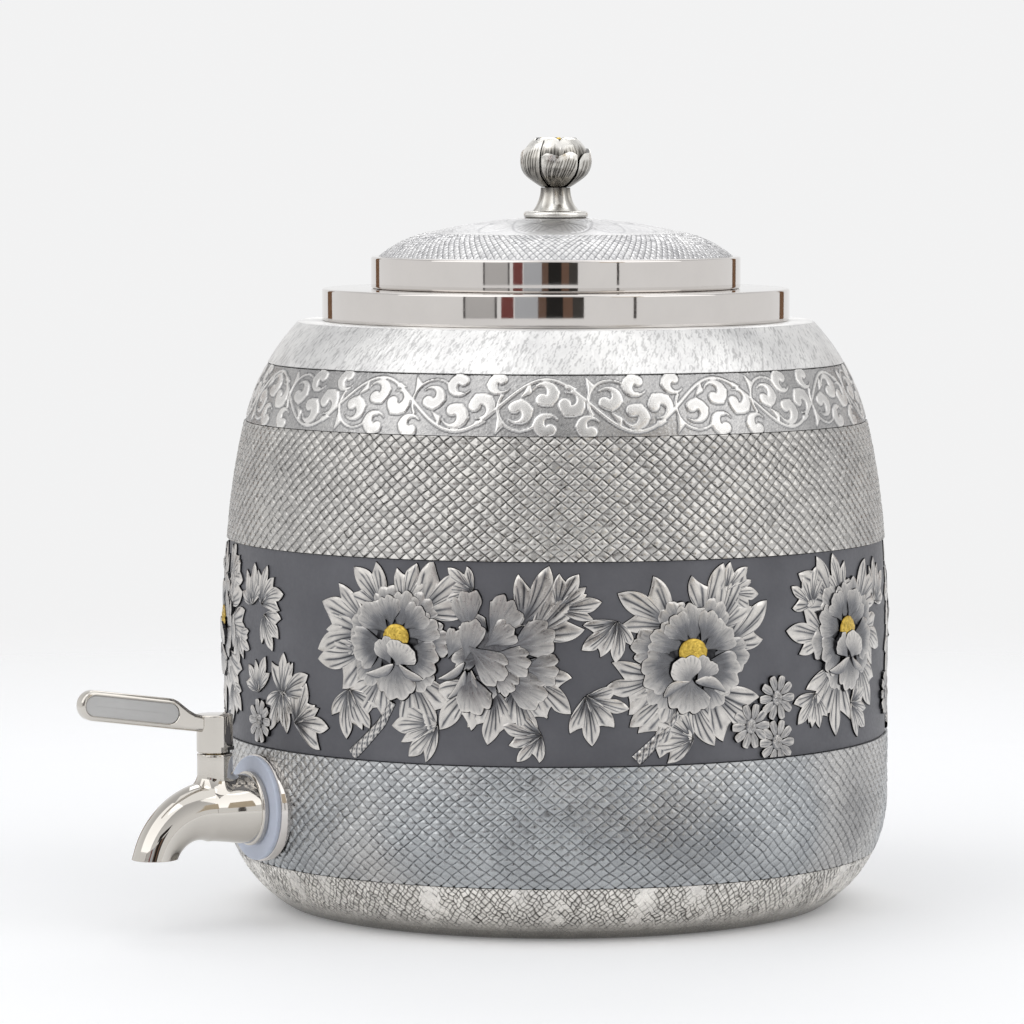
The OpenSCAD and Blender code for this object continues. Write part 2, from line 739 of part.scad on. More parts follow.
module knob_stem() {
    color("#d8d3cc") difference() {
        rotate_extrude() difference() {
            translate([0, stem_z]) square([knob_foot_r, knob_stem_h]);
            translate([knob_waist_r + side_r, stem_z + knob_stem_h]) circle(side_r, $fn = 180);
        }
        translate([0, 0, stem_z - 1]) cylinder(r = knob_screw_r + 0.05, h = 1 + 0.8 * knob_stem_h);
    }
}

module knob_bud() {
    color("#cfd0d4") difference() {
        union() {
            intersection() {
                translate([0, 0, bud_c]) sphere(bud_r - 1.2);
                translate([-far, -far, bud_z]) cube([2 * far, 2 * far, bud_h - 0.8]);
            }
            for (i = [0 : bud_petals - 1]) rotate([0, 0, 360 * i / bud_petals])
                intersection() {
                    translate([0, 0, bud_c]) difference() {
                        sphere(bud_r);
                        sphere(bud_r - 2.2);
                    }
                    translate([-far, -far, bud_z]) cube([2 * far, 2 * far, bud_h]);
                    translate([0, 0, bud_c - 1]) rotate([0, 82, 0]) cylinder(r = petal_r, h = far);
                }
        }
        translate([0, 0, bud_z + bud_h - 2.6]) cylinder(r = 0.34 * bud_r, h = 10);
    }
}

module knob_anthers() {
    color("#c8a63c") {
        translate([0, 0, bud_z + bud_h - 2.6]) cylinder(r = 0.3 * bud_r, h = 1.2);
        for (i = [0 : 6]) rotate([0, 0, 360 * i / 7]) translate([0.2 * bud_r, 0, bud_z + bud_h - 1.5])
            sphere(0.07 * bud_r, $fn = 24);
    }
}

module knob_washer() {
    color("#b8b8b4") translate([0, 0, pad_z - 1]) difference() {
        cylinder(r = washer_r, h = 1);
        translate([0, 0, -1]) cylinder(r = screw_hole_r, h = 3);
    }
}

module knob_screw() {
    color("#a8a8a6") difference() {
        union() {
            translate([0, 0, pad_z - 1 - knob_screw_r]) cylinder(r = 1.9 * knob_screw_r, h = knob_screw_r);
            translate([0, 0, pad_z - 2])
                cylinder(r = knob_screw_r, h = stem_z + 0.7 * knob_stem_h - pad_z + 2);
        }
        translate([0, 0, pad_z - 1.6 - knob_screw_r]) linear_extrude(0.6 + 0.55 * knob_screw_r)
            circle(0.85 * knob_screw_r, $fn = 6);
    }
}

base_pan();
lower_band();
frieze_ring();
upper_band();
scroll_band();
shoulder_ring();
neck_collar();
frieze_blossoms();
frieze_leaves();
frieze_stamens();
tap_boss();
outer_gasket();
inner_gasket();
backing_washer();
lock_nut();
tap_body();
stop_pin();
retaining_ring();
valve_plug();
stem_o_rings();
tap_handle();
handle_inlays();
set_screw();
lid_rim();
lid_dome();
lid_skirt();
knob_flange();
knob_stem();
knob_bud();
knob_anthers();
knob_washer();
knob_screw();
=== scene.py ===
import math

import bpy
import numpy as np
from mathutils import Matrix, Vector
from mathutils.geometry import tessellate_polygon


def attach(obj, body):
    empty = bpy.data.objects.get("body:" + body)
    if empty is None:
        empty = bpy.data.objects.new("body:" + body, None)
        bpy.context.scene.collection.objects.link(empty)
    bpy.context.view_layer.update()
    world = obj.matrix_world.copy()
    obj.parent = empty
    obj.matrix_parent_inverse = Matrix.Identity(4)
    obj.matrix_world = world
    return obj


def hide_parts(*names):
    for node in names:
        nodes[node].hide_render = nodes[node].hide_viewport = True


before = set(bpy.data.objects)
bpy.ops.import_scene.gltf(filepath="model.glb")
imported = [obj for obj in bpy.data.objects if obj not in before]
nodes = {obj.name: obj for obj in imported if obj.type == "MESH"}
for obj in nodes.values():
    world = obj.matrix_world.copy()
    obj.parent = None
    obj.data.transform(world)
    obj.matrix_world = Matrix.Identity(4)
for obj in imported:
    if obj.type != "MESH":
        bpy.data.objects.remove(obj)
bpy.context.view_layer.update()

# sizes in millimetres, the same as in the part's source
MM = 0.001
BELLY_R = 111.0
WALL = 2.5
FOOT_CURVE = 42.0
FOOT_H = 36.5
LEAN_H = 85.0
SEAM_BASE = 18.5
SEAM_LOWER = 57.7
SEAM_FRIEZE = 122.2
SEAM_UPPER = 161.2
SEAM_SCROLL = 180.5
SHOULDER_Z = 194.2
RECESS = 0.9
BELLY_LEAN = math.radians(4)
WAIST_LEAN = math.radians(13.3)
SHOULDER_LEAN = math.radians(43.7)
COLLAR_SET = 8.0
COLLAR_H = 10.7
COLLAR_DEEP = 5.0
COLLAR_WALL = 2.0
LID_SET = 16.3
MOUTH_LEDGE = 5.0
SKIRT_GAP = 0.4
RIM_H = 10.6
RING_ROUND = 0.8
DOME_SET = 2.6
DOME_EDGE = 14.5
EDGE_LEAN = math.radians(40)
CROWN = 180.0
FLANGE_R = 10.8
FLANGE_T = 2.3
SCREW_HOLE = 2.2
STEM_R = 5.0
STEM_H = 7.8
STEM_FLARE = 2.8
BUD_DEEP = 8.7
TAP_HOLE = 8.2
BOSS_R = 17.4
BOSS_OFF = 2.1
GASKET_R = 17.0
GASKET_T = 1.5
STEM_OUT = 13.6
BEND_OUT = 3.5
BEND_R = 18.8
BEND_ANGLE = math.radians(72)
OUTLET_DROP = 14.2

# the fine groove where two rings meet
SEAM_GAP = 0.13
SEAM_LINE = 0.02
SEAM_DEPTH = 0.25
SEAM_TONE = 0.4

# worked out from the sizes
BELLY_CURVE = (SEAM_FRIEZE - LEAN_H) / math.sin(BELLY_LEAN)
WAIST_CURVE = (SEAM_UPPER - SEAM_FRIEZE) / (math.sin(WAIST_LEAN) - math.sin(BELLY_LEAN))
SHOULDER_CURVE = (SHOULDER_Z - SEAM_UPPER) / (math.sin(SHOULDER_LEAN) - math.sin(WAIST_LEAN))
BELLY_END = BELLY_R - BELLY_CURVE * (1 - math.cos(BELLY_LEAN))
WAIST_C = (BELLY_END - WAIST_CURVE * math.cos(BELLY_LEAN), SEAM_FRIEZE - WAIST_CURVE * math.sin(BELLY_LEAN))
WAIST_END = WAIST_C[0] + WAIST_CURVE * math.cos(WAIST_LEAN)
SHOULDER_C = (WAIST_END - SHOULDER_CURVE * math.cos(WAIST_LEAN),
              SEAM_UPPER - SHOULDER_CURVE * math.sin(WAIST_LEAN))
SHOULDER_R = SHOULDER_C[0] + SHOULDER_CURVE * math.cos(SHOULDER_LEAN)
COLLAR_R = SHOULDER_R - COLLAR_SET
COLLAR_TOP = SHOULDER_Z + COLLAR_H
LID_R = COLLAR_R - LID_SET
MOUTH_R = LID_R - MOUTH_LEDGE
SKIRT_R = MOUTH_R - SKIRT_GAP
RIM_TOP = COLLAR_TOP + RIM_H
DOME_R = LID_R - DOME_SET
BREAK_R = DOME_R - DOME_EDGE
BREAK_LEAN = math.asin(BREAK_R / CROWN)
EDGE_CURVE = DOME_EDGE / (math.sin(EDGE_LEAN) - math.sin(BREAK_LEAN))
BREAK_Z = RIM_TOP + EDGE_CURVE * (math.cos(BREAK_LEAN) - math.cos(EDGE_LEAN))
DOME_TOP = BREAK_Z + CROWN * (1 - math.cos(BREAK_LEAN))
SEAT_Z = DOME_TOP - CROWN + math.sqrt(CROWN ** 2 - FLANGE_R ** 2)
STEM_Z = SEAT_Z + FLANGE_T
BUD_Z = STEM_Z + STEM_H
BUD_C = BUD_Z + BUD_DEEP
TAP_H = SEAM_BASE + (SEAM_LOWER - SEAM_BASE) / 2
BOSS_FACE = BELLY_R + BOSS_OFF
TAP_FACE = BOSS_FACE + GASKET_T
STEM_X = TAP_FACE + STEM_OUT
BEND_X = STEM_X + BEND_OUT


# shared shapes
def smooth(low, high, x):
    """Rise from 0 at low to 1 at high, level at both ends."""
    t = np.clip((np.asarray(x, float) - low) / (high - low), 0, 1)
    return t * t * (3 - 2 * t)


def wall(z):
    """Outside radius of the barrel and the lean of its wall at the heights z."""
    z = np.asarray(z, float)
    lean = np.zeros_like(z)
    r = np.full_like(z, BELLY_R)
    m = z < FOOT_H
    lean[m] = np.arcsin((z[m] - FOOT_H) / FOOT_CURVE)
    r[m] = BELLY_R - FOOT_CURVE * (1 - np.cos(lean[m]))
    m = (z >= LEAN_H) & (z < SEAM_FRIEZE)
    lean[m] = np.arcsin((z[m] - LEAN_H) / BELLY_CURVE)
    r[m] = BELLY_R - BELLY_CURVE * (1 - np.cos(lean[m]))
    m = (z >= SEAM_FRIEZE) & (z < SEAM_UPPER)
    lean[m] = np.arcsin((z[m] - WAIST_C[1]) / WAIST_CURVE)
    r[m] = WAIST_C[0] + WAIST_CURVE * np.cos(lean[m])
    m = z >= SEAM_UPPER
    lean[m] = np.arcsin(np.clip((z[m] - SHOULDER_C[1]) / SHOULDER_CURVE, -1, 1))
    r[m] = SHOULDER_C[0] + SHOULDER_CURVE * np.cos(lean[m])
    return r, lean


def on_wall(turn, z, h):
    """Points at the distance h off the barrel's outside."""
    r, lean = wall(z)
    rr = r + h * np.cos(lean)
    return np.stack([rr * np.cos(turn), rr * np.sin(turn), z + h * np.sin(lean)], -1)


def wall_line(zs, h):
    """Profile of (radius, height) that follows the wall at the distances h."""
    zs = np.asarray(zs, float)
    return [(p[0], p[2]) for p in on_wall(np.zeros(len(zs)), zs, np.broadcast_to(h, len(zs)))]


def wall_levels(z0, z1, n):
    """Heights spaced evenly along the wall between two seams."""
    z = np.linspace(z0, z1, 240)
    r, lean = wall(z)
    length = np.concatenate([[0], np.cumsum(np.hypot(np.diff(r), np.diff(z)))])
    return np.interp(np.linspace(0, length[-1], n), length, z)


def turns(n):
    """Angles of n even steps round a circle."""
    return np.linspace(0, 2 * math.pi, n, endpoint=False)


def arc(cx, cz, r, a0, a1, n=9):
    """Points of an arc between two angles in degrees."""
    a = np.radians(np.linspace(a0, a1, n))
    return [(cx + r * math.cos(x), cz + r * math.sin(x)) for x in a]


def patch(rows, cols):
    """Shares from 0 to 1 along the rows of a patch, and from -1 to 1 across its columns."""
    return np.linspace(0, 1, rows)[:, None], np.linspace(-1, 1, cols)[None, :]


def grid_quads(rows, cols, wrap=False):
    """Faces of a grid of points, joined round to its first column where it wraps."""
    n = cols if wrap else cols - 1
    i, j = np.meshgrid(np.arange(rows - 1), np.arange(n), indexing="ij")
    k = (j + 1) % cols
    return np.stack([i * cols + j, i * cols + k, (i + 1) * cols + k, (i + 1) * cols + j], -1).reshape(-1, 4)


class Store:
    """Vertices, faces and the tone of one piece, gathered part by part."""

    def __init__(self):
        self.verts = []
        self.quads = []
        self.tris = []
        self.tone = []
        self.count = 0

    def add(self, verts, quads=None, tone=0.5, tris=None):
        """Points with their faces and one tone, or a tone for each point."""
        verts = np.asarray(verts, float).reshape(-1, 3)
        if quads is not None and len(quads):
            self.quads.append(np.asarray(quads, np.int32).reshape(-1, 4) + self.count)
        if tris is not None and len(tris):
            self.tris.append(np.asarray(tris, np.int32).reshape(-1, 3) + self.count)
        self.verts.append(verts)
        self.tone.append(np.broadcast_to(np.asarray(tone, float).ravel(), len(verts)))
        self.count += len(verts)

    def grid(self, points, tone=0.5, wrap=False):
        """Grid of points [rows, columns]; seen from outside, rows go up and columns to the right."""
        rows, cols = points.shape[:2]
        self.add(points, grid_quads(rows, cols, wrap), tone)

    def lathe(self, profile, tone=0.5, steps=256, closed=False):
        """Revolve of a profile of (radius, height); outside faces run upward."""
        p = np.asarray(profile, float)
        tone = np.broadcast_to(np.asarray(tone, float), len(p))
        if closed:
            p = np.concatenate([p, p[:1]])
            tone = np.concatenate([tone, tone[:1]])
        t = turns(steps)
        pts = np.stack([p[:, 0, None] * np.cos(t), p[:, 0, None] * np.sin(t), p[:, 1, None] + 0 * t], -1)
        self.grid(pts, tone[:, None].repeat(steps, 1), wrap=True)

    def make(self, name, material, body, replaces, sharp=35.0):
        """Piece of the scene on its body; edges steeper than sharp degrees stay hard."""
        verts = np.concatenate(self.verts) * MM
        parts = [np.concatenate(faces) for faces in (self.quads, self.tris) if faces]
        me = bpy.data.meshes.new(name)
        me.vertices.add(len(verts))
        me.vertices.foreach_set("co", verts.ravel())
        index = np.concatenate([p.ravel() for p in parts])
        counts = np.concatenate([np.full(len(p), p.shape[1]) for p in parts])
        starts = np.concatenate([[0], np.cumsum(counts)[:-1]])
        me.loops.add(len(index))
        me.loops.foreach_set("vertex_index", index.astype(np.int32))
        me.polygons.add(len(counts))
        me.polygons.foreach_set("loop_start", starts.astype(np.int32))
        me.update(calc_edges=True)
        me.polygons.foreach_set("use_smooth", np.ones(len(counts), bool))
        at = me.attributes.new("tone", "FLOAT", "POINT")
        at.data.foreach_set("value", np.concatenate(self.tone).astype(np.float32))
        if sharp:
            me.set_sharp_from_angle(angle=math.radians(sharp))
        me.materials.append(material)
        obj = bpy.data.objects.new(name, me)
        bpy.context.scene.collection.objects.link(obj)
        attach(obj, body)
        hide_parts(*replaces)
        return obj


# materials
def material(name):
    """New material with one shader; gives the material, its node tree and the shader."""
    mat = bpy.data.materials.new(name)
    mat.use_nodes = True
    tree = mat.node_tree
    tree.nodes.clear()
    out = tree.nodes.new("ShaderNodeOutputMaterial")
    bsdf = tree.nodes.new("ShaderNodeBsdfPrincipled")
    tree.links.new(bsdf.outputs["BSDF"], out.inputs["Surface"])
    return mat, tree, bsdf


def noise(tree, scale, detail, stretch=(1, 1, 1)):
    """Value of a noise over the piece."""
    coord = tree.nodes.new("ShaderNodeTexCoord")
    place = tree.nodes.new("ShaderNodeMapping")
    place.inputs["Scale"].default_value = stretch
    tex = tree.nodes.new("ShaderNodeTexNoise")
    tex.inputs["Scale"].default_value = scale
    tex.inputs["Detail"].default_value = detail
    tex.inputs["Roughness"].default_value = 0.55
    tree.links.new(coord.outputs["Object"], place.inputs["Vector"])
    tree.links.new(place.outputs["Vector"], tex.inputs["Vector"])
    return tex.outputs["Fac"]


def ramp(tree, value, stops):
    """Colour picked by a value from stops of (value, colour)."""
    node = tree.nodes.new("ShaderNodeValToRGB")
    els = node.color_ramp.elements
    while len(els) > len(stops):
        els.remove(els[-1])
    while len(els) < len(stops):
        els.new(0.5)
    for e, (pos, col) in zip(els, stops):
        e.position = pos
        e.color = (*col, 1)
    tree.links.new(value, node.inputs["Fac"])
    return node.outputs["Color"]


def scaled(tree, value, low, high):
    """Noise value spread over a range."""
    node = tree.nodes.new("ShaderNodeMapRange")
    node.inputs["From Min"].default_value = 0.3
    node.inputs["From Max"].default_value = 0.7
    node.inputs["To Min"].default_value = low
    node.inputs["To Max"].default_value = high
    tree.links.new(value, node.inputs["Value"])
    return node.outputs["Result"]


def multiplied(tree, first, second):
    """Product of two colours."""
    node = tree.nodes.new("ShaderNodeMix")
    node.data_type = "RGBA"
    node.blend_type = "MULTIPLY"
    node.inputs["Factor"].default_value = 1.0
    tree.links.new(first, node.inputs["A"])
    tree.links.new(second, node.inputs["B"])
    return node.outputs["Result"]


def bumped(tree, bsdf, value, strength, distance):
    """Fine bumps on a shader from a noise value."""
    node = tree.nodes.new("ShaderNodeBump")
    node.inputs["Strength"].default_value = strength
    node.inputs["Distance"].default_value = distance
    tree.links.new(value, node.inputs["Height"])
    tree.links.new(node.outputs["Normal"], bsdf.inputs["Normal"])


def toned(name, stops, rough, metallic=1.0, mottle=(0.82, 1.06), scale=60, grain=1400, bump=0.12,
          tint=None):
    """Metal coloured by the piece's tone, with patchy tarnish, uneven gloss and a fine grain."""
    mat, tree, bsdf = material(name)
    attr = tree.nodes.new("ShaderNodeAttribute")
    attr.attribute_name = "tone"
    colour = ramp(tree, attr.outputs["Fac"], stops)
    cloud = noise(tree, scale, 4.0)
    low, high = mottle
    shade = ramp(tree, cloud, [(0.32, (low, low, low * 1.01)), (0.68, (high, high, high))])
    colour = multiplied(tree, colour, shade)
    if tint:
        stain = ramp(tree, noise(tree, tint[0], 2.0), [(0.42, (1, 1, 1)), (0.62, tint[1])])
        colour = multiplied(tree, colour, stain)
    tree.links.new(colour, bsdf.inputs["Base Color"])
    bsdf.inputs["Metallic"].default_value = metallic
    fine = noise(tree, grain, 3.0)
    tree.links.new(scaled(tree, fine, rough[0], rough[1]), bsdf.inputs["Roughness"])
    bumped(tree, bsdf, fine, bump, 0.0002)
    return mat


def plain(name, colour, rough, metallic, spread=0.06, grain=2200, bump=0.04, stretch=(1, 1, 1), **sockets):
    """One colour with slight cloudiness, uneven gloss and a fine grain."""
    mat, tree, bsdf = material(name)
    low = tuple(c * (1 - spread) for c in colour)
    high = tuple(min(1, c * (1 + spread)) for c in colour)
    cloud = noise(tree, 90, 4.0)
    tree.links.new(ramp(tree, cloud, [(0.3, low), (0.7, high)]), bsdf.inputs["Base Color"])
    fine = noise(tree, grain, 2.0, stretch)
    tree.links.new(scaled(tree, fine, rough[0], rough[1]), bsdf.inputs["Roughness"])
    bsdf.inputs["Metallic"].default_value = metallic
    for key, value in sockets.items():
        bsdf.inputs[key.replace("_", " ")].default_value = value
    bumped(tree, bsdf, fine, bump, 0.0001)
    return mat


UPPER = toned("upper_tin", [(0.0, (0.05, 0.049, 0.048)), (0.35, (0.22, 0.216, 0.21)),
                            (1.0, (0.57, 0.555, 0.53))], (0.2, 0.34), mottle=(0.88, 1.04))
LOWER = toned("lower_tin", [(0.0, (0.06, 0.06, 0.062)), (0.35, (0.23, 0.23, 0.233)),
                            (1.0, (0.57, 0.562, 0.548))], (0.22, 0.38), tint=(16, (0.8, 0.84, 0.88)))
BASE = toned("base_tin", [(0.0, (0.08, 0.075, 0.066)), (0.4, (0.37, 0.353, 0.326)),
                          (1.0, (0.97, 0.94, 0.89))], (0.22, 0.4), scale=110)
GROUND = toned("dark_ground", [(0.0, (0.012, 0.012, 0.013)), (1.0, (0.145, 0.146, 0.16))], (0.42, 0.55),
               metallic=0.55, mottle=(0.85, 1.12), scale=45, grain=900, bump=0.08)
SCROLL = toned("scroll_tin", [(0.0, (0.05, 0.05, 0.052)), (0.4, (0.29, 0.288, 0.29)),
                              (1.0, (0.84, 0.825, 0.8))], (0.22, 0.38), grain=2600, bump=0.2)
SHOULDER = toned("shoulder_tin", [(0.0, (0.2, 0.2, 0.2)), (0.5, (0.74, 0.735, 0.725)),
                                  (1.0, (0.93, 0.925, 0.91))], (0.34, 0.5))
RELIEF = toned("relief_tin", [(0.0, (0.02, 0.02, 0.022)), (0.4, (0.2, 0.202, 0.212)),
                              (1.0, (0.74, 0.71, 0.67))], (0.25, 0.38), mottle=(0.86, 1.05), scale=220)
DOME = toned("dome_tin", [(0.0, (0.08, 0.08, 0.085)), (0.4, (0.48, 0.48, 0.49)),
                          (1.0, (0.8, 0.795, 0.79))], (0.28, 0.44))
BUD = toned("bud_tin", [(0.0, (0.02, 0.019, 0.017)), (0.45, (0.4, 0.38, 0.345)),
                        (1.0, (0.88, 0.86, 0.81))], (0.16, 0.3), scale=300)
POLISH = plain("polished_tin", (0.67, 0.64, 0.615), (0.035, 0.06), 1.0, spread=0.02, grain=60,
               bump=0.004, stretch=(1, 1, 14))
STEEL = plain("tap_steel", (0.61, 0.58, 0.535), (0.03, 0.055), 1.0, spread=0.02, grain=70, bump=0.006)
GOLD = toned("gold_trim", [(0.0, (0.2, 0.11, 0.012)), (1.0, (0.83, 0.6, 0.13))], (0.28, 0.45),
             mottle=(0.8, 1.1), scale=900)
SILICONE = plain("silicone", (0.62, 0.67, 0.79), (0.3, 0.45), 0.0, spread=0.05,
                 Specular_IOR_Level=0.4)
INSIDE = plain("inside_steel", (0.62, 0.615, 0.6), (0.2, 0.36), 1.0, stretch=(1, 1, 12), bump=0.06)
DARK = plain("dark_steel", (0.06, 0.06, 0.062), (0.3, 0.5), 0.8, spread=0.2)
BRASS = plain("valve_brass", (0.72, 0.55, 0.3), (0.18, 0.32), 1.0, spread=0.12)
RUBBER = plain("black_rubber", (0.02, 0.02, 0.021), (0.5, 0.7), 0.0, spread=0.3, bump=0.15)
INLAY = plain("inlay_grey", (0.58, 0.575, 0.565), (0.34, 0.46), 0.3, spread=0.04, grain=500,
              bump=0.05, stretch=(0.2, 0.2, 3))

for node, mat in {"inner_gasket": SILICONE, "backing_washer": INSIDE, "lock_nut": INSIDE, "stop_pin": DARK,
                  "retaining_ring": INSIDE, "valve_plug": BRASS, "stem_o_rings": RUBBER,
                  "set_screw": DARK, "lid_skirt": INSIDE, "knob_washer": INSIDE,
                  "knob_screw": INSIDE}.items():
    slots = nodes[node].material_slots
    if len(slots):
        for s in slots:
            s.material = mat
    else:
        nodes[node].data.materials.append(mat)


# barrel rings
def ring_back(store, z0, z1, face):
    """Edges and inside of a ring of the wall: a narrow chamfer at each seam and the plain inside."""
    edge = [face, face - SEAM_DEPTH]
    inside = wall_line(wall_levels(z0, z1, 16)[::-1], -WALL)
    inside[0] = (inside[0][0], z1)
    inside[-1] = (inside[-1][0], z0)
    tone = [0.5, SEAM_TONE, 0.2] + [0.6] * (len(inside) - 2) + [0.2, SEAM_TONE, 0.5]
    store.lathe(wall_line([z1 - SEAM_GAP, z1 - SEAM_LINE], edge) + inside
                + wall_line([z0 + SEAM_LINE, z0 + SEAM_GAP], edge[::-1]), tone, steps=240)


def wall_skin(store, zs, height, tone):
    """Skin of the wall with a height and a tone for each point [rows, columns]."""
    points = on_wall(turns(height.shape[1])[None, :], zs[:, None], height)
    store.grid(points, np.clip(tone, 0, 1), wrap=True)


def cells(store, point, count, rows, cuts, shape, seed):
    """Skin of diamond cells; point(s, t, h) places it, s runs round to count and t up to rows."""
    rng = np.random.default_rng(seed)
    centre = []
    for k in range(int(round(2 * rows)) + 1):
        p = np.arange(1 if k % 2 == 0 else 0, 2 * count, 2)
        centre.append(np.stack([p / 2.0, np.full(len(p), k / 2.0)], -1))
    centre = np.concatenate(centre)
    fa, fb = np.meshgrid(cuts, cuts, indexing="ij")
    s = centre[:, 0, None, None] + (fa + fb) / 2
    t = np.clip(centre[:, 1, None, None] + (fa - fb) / 2, 0, rows)
    h, tone = shape(fa[None], fb[None], centre, rng)
    pts = point(s, t, np.broadcast_to(h, s.shape))
    n = len(cuts)
    quads = (np.arange(len(centre))[:, None, None] * n * n + grid_quads(n, n)[None]).reshape(-1, 4)
    tt = t.reshape(-1)[quads]
    keep = tt.max(1) - tt.min(1) > 1e-6
    store.add(pts, quads[keep], np.broadcast_to(tone, s.shape))


def wall_point(z0, z1, count, rows, uneven):
    """Places cells on the wall, their lines bent a little to and fro as if set by eye."""
    zs = wall_levels(z0, z1, 200)
    waves = [round(count * share) for share in (0.17, 0.31, 0.51, 0.23, 0.45)]

    def point(s, t, h):
        turn = s * 2 * math.pi / count
        shift = uneven * smooth(0, 1, t) * (1 - smooth(rows - 1, rows, t))
        a, b, c, d, e = (w * turn for w in waves)
        s = s + shift * (np.sin(a + 2.1 * t) + np.sin(b - 1.7 * t + 1) + 0.6 * np.sin(c + 4.4 * t))
        t = t + shift * (np.sin(d - 1.3 * t + 2) + 0.7 * np.sin(e + 3.1 * t))
        z = np.interp(t / rows, np.linspace(0, 1, 200), zs)
        return on_wall(s * 2 * math.pi / count, z, h)
    return point


PAD_EDGE = 0.13


def chased(depth, tilt, lean, spread, rim, groove, clouds=()):
    """Hammered pads between punched lines of tone groove, each pad tilted a little its own way.

    rim is a painted highlight along each pad's edge and painted shade in its middle. Clouds are darker
    patches of the patina, each with its turn, share of the height and strength.
    """
    def shape(fa, fb, centre, rng):
        n = len(centre)
        far = np.maximum(abs(fa), abs(fb))
        pad = np.clip((0.5 - far) / PAD_EDGE, 0, 1)
        ra, rb, rc = (rng.normal(0, 1, (n, 1, 1)) for _ in range(3))
        h = depth * (pad - 1) + (tilt * (ra * fa + rb * fb) + lean * (fa - fb)) * pad
        h = h - 0.05 * depth + 0.1 * depth * rc * pad
        tone = groove + (1 - groove) * pad * np.clip(0.86 + spread * rc, 0.3, 1.15)
        # rim paints a highlight along the pad's edge and shade in its middle
        tone = tone + rim * ((pad >= 0.99) & (far > 0.3)) - 0.4 * rim * (far < 0.1)
        turn = centre[:, 0, None, None] / BAND_COUNT * 2 * math.pi
        level = centre[:, 1, None, None] / BAND_ROWS
        for at, share, strength in clouds:
            near = (np.cos(turn - math.radians(at)) - 1) / 0.02 - ((level - share) / 0.34) ** 2
            tone = tone * (1 - strength * np.exp(near))
        return np.minimum(h, 0.12), np.clip(tone, 0, 1)
    return shape


BAND_COUNT = 156
BAND_ROWS = 10.5
BAND_FACE = -0.1
PAD_CUTS = np.array([-0.5, PAD_EDGE - 0.5, 0.0, 0.5 - PAD_EDGE, 0.5])
PATINA = [(-76, 0.5, 0.16), (-12, 0.45, 0.46), (31, 0.45, 0.36), (95, 0.5, 0.2), (165, 0.45, 0.25),
          (230, 0.5, 0.2)]


def band(name, node, mat, z0, z1, uneven, shape, seed):
    """Ring of the wall between two seams with its diamond pads."""
    store = Store()
    point = wall_point(z0 + SEAM_GAP, z1 - SEAM_GAP, BAND_COUNT, BAND_ROWS, uneven)
    cells(store, point, BAND_COUNT, BAND_ROWS, PAD_CUTS, shape, seed)
    ring_back(store, z0, z1, BAND_FACE)
    store.make(name, mat, "vessel", [node], sharp=60)


band("upper_chasing", "upper_band", UPPER, SEAM_FRIEZE, SEAM_UPPER, 0.03,
     chased(depth=0.4, tilt=0.26, lean=-0.2, spread=0.1, rim=0.05, groove=0.33), 11)
band("lower_chasing", "lower_band", LOWER, SEAM_BASE, SEAM_LOWER, 0.045,
     chased(depth=0.34, tilt=0.22, lean=-0.08, spread=0.1, rim=0.12, groove=0.46, clouds=PATINA), 12)

frieze = Store()
ground = wall_levels(SEAM_LOWER + SEAM_GAP, SEAM_FRIEZE - SEAM_GAP, 40)
frieze.lathe(wall_line(ground, -RECESS), 0.9, steps=384)
ring_back(frieze, SEAM_LOWER, SEAM_FRIEZE, -RECESS)
frieze.make("frieze_ground", GROUND, "vessel", ["frieze_ring"])


# base pan with patches of small scale marks
PAN_COUNT = 320
PAN_ROWS = 7.0
PAN_FACE = -0.06
PAN_LOW = 3.2
FOOT_LOW = 0.6
FLOOR_R = 86.0
FLOOR_T = 3.0
MARK_EDGE = 0.22


def scale_marks(fa, fb, centre, rng):
    """Small punched scales in patches, darkest along the lower edge of each, and smooth metal between."""
    n = len(centre)
    turn = centre[:, 0, None, None] / PAN_COUNT * 2 * math.pi
    row = centre[:, 1, None, None] / PAN_ROWS
    patchy = np.sin(26 * turn + 2.3 * np.sin(5 * turn) + 2 * row) + 0.8 * np.sin(47 * turn + 0.6 - 3 * row)
    patchy = patchy + 0.5 * np.sin(9 * turn) + rng.normal(0, 0.45, (n, 1, 1))
    cover = smooth(-2.2, -0.1, patchy) * smooth(0.1, 0.36, row)
    low_edge = np.clip(np.minimum(fa + 0.5, 0.5 - fb) / MARK_EDGE, 0, 1)
    high_edge = np.clip(np.minimum(0.5 - fa, fb + 0.5) / MARK_EDGE, 0, 1)
    groove = np.maximum(1 - low_edge, 0.5 * (1 - high_edge))
    ra, rb, rc = (rng.normal(0, 1, (n, 1, 1)) for _ in range(3))
    h = cover * (0.16 * (ra * fa + rb * fb) * (1 - groove) - 0.2 * groove) + 0.03 * (ra * fa + rb * fb)
    tone = 1.0 - cover * (0.98 * groove + 0.03 + 0.08 * rc) - 0.03 * abs(rc)
    # the lowest rows are painted darker as shade: the shadowed floor near the foot seen in the metal
    tone = tone * (0.5 + 0.5 * smooth(0.0, 0.36, row))
    return h + PAN_FACE, np.clip(tone, 0, 1)


